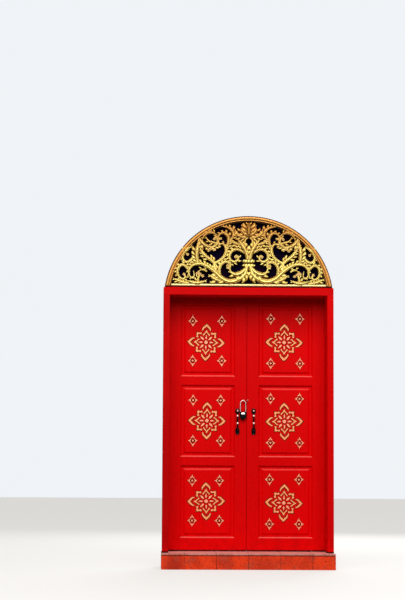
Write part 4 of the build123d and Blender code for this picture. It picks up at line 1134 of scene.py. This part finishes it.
class DOORS_OT_ornaments(Operator):
    """Gilded medallions and flowers on the panels"""

    bl_idname = "doors.ornaments"
    bl_label = "Ornaments"

    def execute(self, context):
        settings = context.scene.doors
        form = settings.ornament
        look = settings.gilding
        gilding = gold("ornament_gilding", look, look.petal, look.ornament, 0.42, deep=look.line)
        # The painted line is partly the ornament's outline and partly painted shade between its forms.
        outline = plain_paint("ornament_line", look.line, look.line, 0.6)
        for painted in (False, True):
            medallion = [button(MEDALLION_BUTTON * MM, form, painted, 0.06)]
            for quarter in range(0, 360, 90):
                for turn, edge in PETALS:
                    mirror = [(-across, along) for across, along in edge]
                    medallion.append(turned_about(plate(edge, mirror, form, painted), turn + quarter))
                for turn, outer, inner in CHEVRONS:
                    chevron = toned(plate(outer, inner, form, painted, True), 1, CHEVRON_TONE)
                    medallion.append(turned_about(chevron, turn + quarter))
            flower = [button(FLOWER_BUTTONS[painted] * MM, form, painted)]
            for turn, outer, inner in FLOWER:
                petal = plate(outer, inner, form, painted, True)
                flower += [turned_about(petal, turn + half) for half in (0, 180)]
            flower = [toned(part, FLOWER_TONE, 0) for part in flower]
            for side, _ in SIDES:
                parts = []
                for row in ROWS:
                    low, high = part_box(f"{side}_{row}_panel")
                    middle = np.array([(low.x + high.x) / 2, low.y, (low.z + high.z) / 2])
                    own, turn, shift, spread = SETTING[f"{side}_{row}"]
                    place = middle + np.array((own[0], 0, own[1])) * MM
                    parts += [moved(turned_about(part, turn), place) for part in medallion]
                    for corner in ((-1, -1), (-1, 1), (1, -1), (1, 1)):
                        step = np.array(shift) + np.array(corner) * spread
                        place = middle + np.array((step[0], 0, step[1])) * MM
                        parts += [moved(part, place) for part in flower]
                name = f"ornament_lines_{side}" if painted else f"ornaments_{side}"
                paint = outline if painted else gilding
                piece(name, parts, paint, f"{side}_leaf", (f"{side}_ornaments",))
        return {"FINISHED"}


def rubbed(name, look, gloss):
    """Black paint rubbed down to bright metal where the piece stands out, which its low hollow values say.
    The bare metal's pink tint is a painted reflection of the red doors.
    """
    paint = Finish(name)
    pits = paint.noise(300.0, 3.0)
    patch = paint.noise(60.0, 4.0)
    cover = paint.node("ShaderNodeAttribute", {"attribute_name": "hollow"}, output="Fac")
    bare = 1 - (cover + (patch - 0.5) * 0.5).between(0.15, 0.6)
    base = paint.mix(bare, look.black, look.knob)
    rough = gloss + pits * 0.15 - bare * 0.12
    return paint.done(
        base_color=base,
        roughness=rough,
        metallic=bare * 0.9,
        specular_ior_level=0.05,
        normal=paint.bump(pits, 0.15 * MM),
    )


# Outlines of the handle plates by angle from the foot round to the top, as radii in millimetres.
UPPER_PLATE = (24, 22.6, 20.5, 19.2, 19, 19.2, 20.5, 22.6, 24)
LOWER_PLATE = (32, 29.6, 23.4, 19.2, 18.5, 19.4, 21.6, 26, 32)
# Millimetres: thickness of a plate, height of its rib and of its dome, depth and radius of the dimple round
# its screw, and how far the screw sits from the plate's outer end.
PLATE_THICKNESS = 6
PLATE_RIB = 1.2
PLATE_DOME = 0.8
DIMPLE_DEPTH = 1.4
DIMPLE_RADIUS = 6
SCREW_INSET = 8
# The turned grip as radius and height in millimetres from the middle of the handle, with how well the paint
# has lasted there from 0 to 1. The wear counts this many times over when the line is smoothed.
# The bare knobs and the bare top collar also give the grip its bright spots, partly a painted highlight.
GRIP = [
    (0, -80, 1), (5.5, -80, 1), (8, -78, 0.9), (8.4, -73, 0.6), (7.4, -68.5, 0.9), (5.4, -67, 1),
    (6.6, -64.5, 0.8), (5.4, -62, 1), (5.2, -52, 1), (5.4, -40, 1), (6.2, -30, 1), (5.4, -26.5, 1),
    (7.6, -23.6, 0.7), (6.6, -22, 0.9), (9.2, -19.4, 0.3), (10.5, -13.5, 0), (9.2, -7.6, 0.2), (6.6, -5, 0.9),
    (7.6, -3.4, 0.7), (5.4, -0.6, 1), (6, 6, 1), (7.6, 12, 0.9), (8.2, 16, 0.8), (7.6, 20, 0.9), (6, 26, 1),
    (5.4, 32.6, 1), (7.6, 35.4, 0.7), (6.6, 37, 0.9), (9.2, 39.6, 0.3), (10.5, 45.5, 0), (9.2, 51.4, 0.2),
    (6.6, 54, 0.9), (7.6, 55.6, 0.7), (5.4, 58.4, 1), (6, 66, 1), (5.4, 74, 1), (6.6, 76.5, 0.8),
    (5.6, 78.6, 1), (7.4, 80, 0.5), (8.6, 84, 0.1), (8, 89, 0.3), (5.5, 91.2, 1), (0, 91.5, 1),
]
GRIP_WEAR = 8
GRIP_COLUMNS = 36
# The turned arms between grip and plate as radius and place in millimetres, counted from a point that stands
# this far before the leaf, the heights of the two arms from the middle of the handle, and how well their
# paint has lasted.
ARM = [(0, 26), (6.4, 26), (5.6, 22), (5.2, 14), (5.8, 8), (8.4, 5.6), (8.8, 3.4), (7, 2.2), (0, 2)]
ARM_START = 31
ARM_LEVELS = (-73.5, 85.5)
ARM_TONE = 0.9


def handle_plate(radii, centre, screw):
    """A cast plate as a polar grid.

    Its rim follows the radii. For a share s of the radius its body stands out by its height times
    (1 - s^14)^0.5, with a rounded rib at 0.86 and a low dome inside it, and it is dimpled round its screw."""
    angle = np.linspace(0, 2 * np.pi, 64, endpoint=False)
    turn = np.abs((angle + np.pi) % (2 * np.pi) - np.pi) / np.pi
    knots = np.linspace(0, 1, len(radii))
    curve, _ = smooth_line(np.column_stack([knots, radii]), 200)
    rim = np.interp(turn, curve[:, 0], curve[:, 1])[None, :] * MM
    share = np.sin(np.linspace(0, 1, 18) * np.pi / 2)[:, None]
    x = centre[0] + share * rim * np.sin(angle)[None, :]
    z = centre[2] - share * rim * np.cos(angle)[None, :]
    rib = np.exp(-(((share - 0.86) / 0.07) ** 2))
    dome = np.clip(1 - (share / 0.8) ** 2, 0, 1)
    body = (PLATE_THICKNESS - PLATE_RIB) * np.clip(1 - share**14, 0, 1) ** 0.5
    away = np.hypot(x - screw[0], z - screw[1]) / (DIMPLE_RADIUS * MM)
    dimple = DIMPLE_DEPTH * np.clip(1 - away**4, 0, 1) * (share < 0.999)
    y = centre[1] - (body + PLATE_RIB * rib + PLATE_DOME * dome - dimple) * MM
    hollow = np.clip(1.1 - 0.55 * rib, 0, 1) + 0 * rim
    x, y, z, hollow = (np.concatenate([part, part[-1:]]) for part in (x, y, z, hollow))
    x[-1], y[-1], z[-1] = centre
    return shell(x, y, z, hollow)


class DOORS_OT_handles(Operator):
    """Pull handles: turned grips on round and drop-shaped plates"""

    bl_idname = "doors.handles"
    bl_label = "Handles"

    def execute(self, context):
        look = context.scene.doors.iron
        black = rubbed("handle_iron", look, 0.32)
        turned = np.array(GRIP)
        line, _ = smooth_line(turned * (1, 1, GRIP_WEAR), 170)
        worn = np.repeat(np.clip(line[:, 2] / GRIP_WEAR, 0, 1), GRIP_COLUMNS)
        for side, _ in SIDES:
            low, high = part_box(f"{side}_handle")
            x = (low.x + high.x) / 2
            middle = (low.z + high.z) / 2
            axis = low.y + turned[:, 0].max() * MM
            vertices, quads, _ = lathe(line[:, :2] * MM, (x, axis, middle), "Z", GRIP_COLUMNS)
            parts = [(vertices, quads, worn)]
            for level in ARM_LEVELS:
                arm = lathe(np.array(ARM) * MM, (x, high.y - ARM_START * MM, middle + level * MM), "Y", 28)
                parts.append(toned(arm, 1, ARM_TONE))
            for radii, end, inward in ((UPPER_PLATE, high.z, -1), (LOWER_PLATE, low.z, 1)):
                centre = (x, high.y, end + inward * radii[0] * MM)
                parts.append(handle_plate(radii, centre, (x, end + inward * SCREW_INSET * MM)))
            piece(f"{side}_handle_black", parts, black, f"{side}_leaf", (f"{side}_handle",))
        return {"FINISHED"}


def enamel(name, look):
    """Thick black enamel with faint ripples and a few scuffs."""
    paint = Finish(name)
    ripple = paint.noise(90.0, 2.0)
    scuff = paint.noise(260.0, 4.0).between(0.62, 0.72) * 0.3
    base = paint.mix(scuff, look.black, look.hinge)
    return paint.done(
        base_color=base,
        roughness=0.14 + scuff,
        specular_ior_level=0.07,
        normal=paint.bump(ripple, 0.2 * MM),
    )


def domed_badge(centre, half_width, half_height):
    """A blank polished plate: a superellipse |x|^3 + |z|^3 = 1 in outline, domed by 2.2 mm times (1 - s^2.5)
    for a share s of its radius, with a rolled edge and a back sunk 0.6 mm in the body."""
    share = np.sin(np.linspace(0, 1, 14) * np.pi / 2)[:, None]
    angle = np.linspace(0, 2 * np.pi, 56, endpoint=False)[None, :]
    outline = (np.abs(np.cos(angle)) ** 3 + np.abs(np.sin(angle)) ** 3) ** (-1 / 3)
    x = centre[0] + half_width * share * outline * np.cos(angle)
    z = centre[2] + half_height * share * outline * np.sin(angle)
    y = centre[1] - 2.2 * MM * (1 - share**2.5) - 0.7 * MM * np.clip(1 - share**16, 0, 1) + 0 * angle
    x, y, z = (np.concatenate([part, part[-1:]]) for part in (x, y, z))
    x[-1] = centre[0]
    y[-2:] = centre[1] + 0.6 * MM
    z[-1] = centre[2]
    return shell(x, y, z)


# The padlock's badge in millimetres: half its width and height, and how far its middle lies below the top.
BADGE_WIDTH = 15.5
BADGE_HEIGHT = 8
BADGE_DROP = 17


class DOORS_OT_padlock(Operator):
    """Padlock, its shackle and key plug, and the two eyes"""

    bl_idname = "doors.padlock"
    bl_label = "Padlock"

    def execute(self, context):
        look = context.scene.doors.iron
        steel = iron("shackle_steel", look.steel, look.worn, 0.16, 1.0)
        eye = iron("eye_steel", look.worn, look.hinge, 0.3, 0.9)
        case = enamel("padlock_enamel", look)
        badge = iron("badge_steel", look.badge, look.steel, 0.1, 1.0)
        brass = iron("plug_brass", look.brass, look.hinge, 0.3, 1.0)
        eased("padlock_shackle", "padlock_shackle_steel", steel)
        eased("padlock_body", "padlock_body_enamel", case)
        eased("padlock_plug", "padlock_plug_brass", brass)
        low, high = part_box("padlock_body")
        place = ((low.x + high.x) / 2, low.y, high.z - BADGE_DROP * MM)
        # The badge stands in for the bright highlight near the top of the padlock.
        plate = domed_badge(place, BADGE_WIDTH * MM, BADGE_HEIGHT * MM)
        piece("padlock_badge", [plate], badge, "padlock")
        for side, _ in SIDES:
            eased(f"{side}_eye", f"{side}_eye_steel", eye)
        return {"FINISHED"}


class DOORS_OT_ironwork(Operator):
    """Hinges, screws and tower bolts"""

    bl_idname = "doors.ironwork"
    bl_label = "Ironwork"

    def execute(self, context):
        look = context.scene.doors.iron
        dark = iron("hinge_iron", look.hinge, look.worn, 0.42)
        screw = iron("screw_steel", look.screw, look.worn, 0.45)
        for node in sorted(nodes):
            slot = slot_of(node)
            if slot in ("hinge_iron", "bolt_iron"):
                eased(node, f"{node}_iron", dark)
            elif slot == "screw_steel":
                eased(node, f"{node}_steel", screw)
        return {"FINISHED"}


# Brush seals in millimetres: how far the upright ones reach past the middle of the doors and into their own
# stile, how thick they are and how far they stand before the rear of the leaf; then how far the lower ones
# end before the hinge side, where they lie behind the front of the leaf and how far they stay off the tread.
SEAL_OVERLAP = 0.5
SEAL_BITE = 0.2
SEAL_THICKNESS = 4
SEAL_REAR = {"left": 1, "right": 7}
SEAL_END = 3
SEAL_FRONT = 0.6
SEAL_BACK = 6
SEAL_LIFT = 0.4


def brush_seal(low, high):
    """A dense brush strip that fills a box: its front and back waver by a sine of the place along it."""
    spans = np.array(high) - np.array(low)
    long = int(np.argmax(spans))
    first, second = (axis for axis in range(3) if axis != long)
    corners = np.array([(0, 0), (1, 0), (1, 1), (0, 1)])
    along = np.linspace(0, 1, 240)[:, None]
    grid = [None] * 3
    grid[long] = low[long] + along * spans[long] + 0 * corners[None, :, 0]
    ripple = 0.08 * np.sin(along * 900) * (corners[None, :, 1] * 2 - 1)
    grid[first] = low[first] + spans[first] * corners[None, :, 0] + 0 * along
    grid[second] = low[second] + spans[second] * (corners[None, :, 1] * 0.84 + 0.08 + ripple)
    return capped(*grid)


class DOORS_OT_seals(Operator):
    """Dark brush seals in the meeting gap and under the leaves, which stand in for the shade in these gaps"""

    bl_idname = "doors.seals"
    bl_label = "Seals"

    def execute(self, context):
        settings = context.scene.doors
        # Near-black felt, as painted shade of the meeting gap and of the gap under the leaves.
        gap_shade_felt = plain_paint("seal_felt", settings.iron.black, settings.lacquer.dark, 0.95, 200.0)
        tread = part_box("tread_tiles")[1].z
        for side, sign in SIDES:
            low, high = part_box(f"{side}_meeting_stile")
            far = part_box(f"{side}_hinge_stile")
            edge = min(abs(low.x), abs(high.x))
            reach = max(abs(far[0].x), abs(far[1].x))
            ends = sorted((-sign * SEAL_OVERLAP * MM, sign * (edge + SEAL_BITE * MM)))
            rear = high.y - SEAL_REAR[side] * MM
            upright = brush_seal((ends[0], rear - SEAL_THICKNESS * MM, low.z), (ends[1], rear, high.z))
            ends = sorted((sign * edge, sign * (reach - SEAL_END * MM)))
            near = (ends[0], low.y + SEAL_FRONT * MM, tread + SEAL_LIFT * MM)
            foot = brush_seal(near, (ends[1], low.y + SEAL_BACK * MM, low.z + SEAL_BITE * MM))
            piece(f"{side}_seal", [upright, foot], gap_shade_felt, f"{side}_leaf")
        return {"FINISHED"}


# Square lamps that look at the target, each with its name, its place and its width in metres.
LAMPS = (("key", (-0.5, -7.5, 6.8), 8.0), ("fill", (8.0, -2.2, 4.6), 3.6), ("back", (1.5, 6.0, 4.0), 4.0))
LAMP_TARGET = (0, 0, 1.3)
FLOOR_REACH = 30.0


def lamp(name, place, width, power):
    """A soft square lamp that looks at the target."""
    light = bpy.data.lights.new(name, "AREA")
    light.shape = "SQUARE"
    light.size = width
    light.energy = power
    thing = bpy.data.objects.new(name, light)
    thing.location = place
    thing.rotation_euler = (Vector(LAMP_TARGET) - Vector(place)).to_track_quat("-Z", "Y").to_euler()
    bpy.context.scene.collection.objects.link(thing)


class DOORS_OT_studio(Operator):
    """Camera, lamps, pale floor and pale surroundings"""

    bl_idname = "doors.studio"
    bl_label = "Studio"

    def execute(self, context):
        scene = context.scene
        look = scene.doors.studio
        camera = bpy.data.cameras.new("camera")
        camera.sensor_fit = "VERTICAL"
        camera.sensor_height = 36.0
        camera.lens = look.lens
        camera.clip_end = 100.0
        eye = bpy.data.objects.new("camera", camera)
        eye.location = (look.camera_x, look.camera_y, look.camera_z)
        level = Matrix.Rotation(-look.yaw, 3, "Z") @ Matrix.Rotation(np.pi / 2 + look.pitch, 3, "X")
        eye.rotation_euler = (level @ Matrix.Rotation(look.roll, 3, "Z")).to_euler()
        scene.collection.objects.link(eye)
        scene.camera = eye

        mesh = bpy.data.meshes.new("floor")
        corners = [(-1, -1, 0), (1, -1, 0), (1, 1, 0), (-1, 1, 0)]
        mesh.from_pydata(np.array(corners) * FLOOR_REACH, [], [(0, 1, 2, 3)])
        floor = bpy.data.objects.new("floor", mesh)
        scene.collection.objects.link(floor)
        paint = Finish("floor_paint")
        seen = paint.seen("Camera", "Glossy")
        pale = paint.done(
            base_color=paint.mix(seen, look.floor_bounce, look.floor_shade),
            roughness=0.9,
            emission_color=paint.mix(seen, (0, 0, 0), look.floor),
            emission_strength=look.glow,
        )
        mesh.materials.append(pale)

        for name, place, width in LAMPS:
            lamp(name, place, width, getattr(look, name))
        scene.world = scene.world or bpy.data.worlds.new("surroundings")
        around = Finish("surroundings", scene.world)
        colour = opaque(look.sky)
        shown = around.node("ShaderNodeBackground", None, {"Color": colour, "Strength": 1.0})
        light = around.node("ShaderNodeBackground", None, {"Color": colour, "Strength": look.ambient})
        seen = around.seen("Camera", "Glossy", "Transmission")
        mixed = around.node("ShaderNodeMixShader", None, {0: seen, 1: light, 2: shown})
        around.ends_in("ShaderNodeOutputWorld", mixed)
        scene.view_settings.view_transform = "Standard"
        return {"FINISHED"}


OPERATORS = (
    DOORS_OT_timber,
    DOORS_OT_step,
    DOORS_OT_mouldings,
    DOORS_OT_carving,
    DOORS_OT_ornaments,
    DOORS_OT_handles,
    DOORS_OT_padlock,
    DOORS_OT_ironwork,
    DOORS_OT_seals,
    DOORS_OT_studio,
)


class DOORS_PT_panel(Panel):
    """Buttons and settings of the doors"""

    bl_idname = "DOORS_PT_panel"
    bl_label = "Carved Double Doors"
    bl_space_type = "VIEW_3D"
    bl_region_type = "UI"
    bl_category = "Doors"

    def draw(self, context):
        settings = context.scene.doors
        for operator in OPERATORS:
            self.layout.operator(operator.bl_idname)
        for name, group in LOOKS.items():
            box = self.layout.box()
            box.label(text=group.__doc__)
            for key in group.__annotations__:
                box.prop(getattr(settings, name), key)


CLASSES = (*LOOKS.values(), DoorSettings, *OPERATORS, DOORS_PT_panel)


def register():
    for kind in CLASSES:
        bpy.utils.register_class(kind)
    bpy.types.Scene.doors = PointerProperty(type=DoorSettings)


def unregister():
    del bpy.types.Scene.doors
    for kind in reversed(CLASSES):
        bpy.utils.unregister_class(kind)


def main():
    register()
    for operator in OPERATORS:
        group, name = operator.bl_idname.split(".")
        getattr(getattr(bpy.ops, group), name)()


if __name__ == "__main__":
    main()
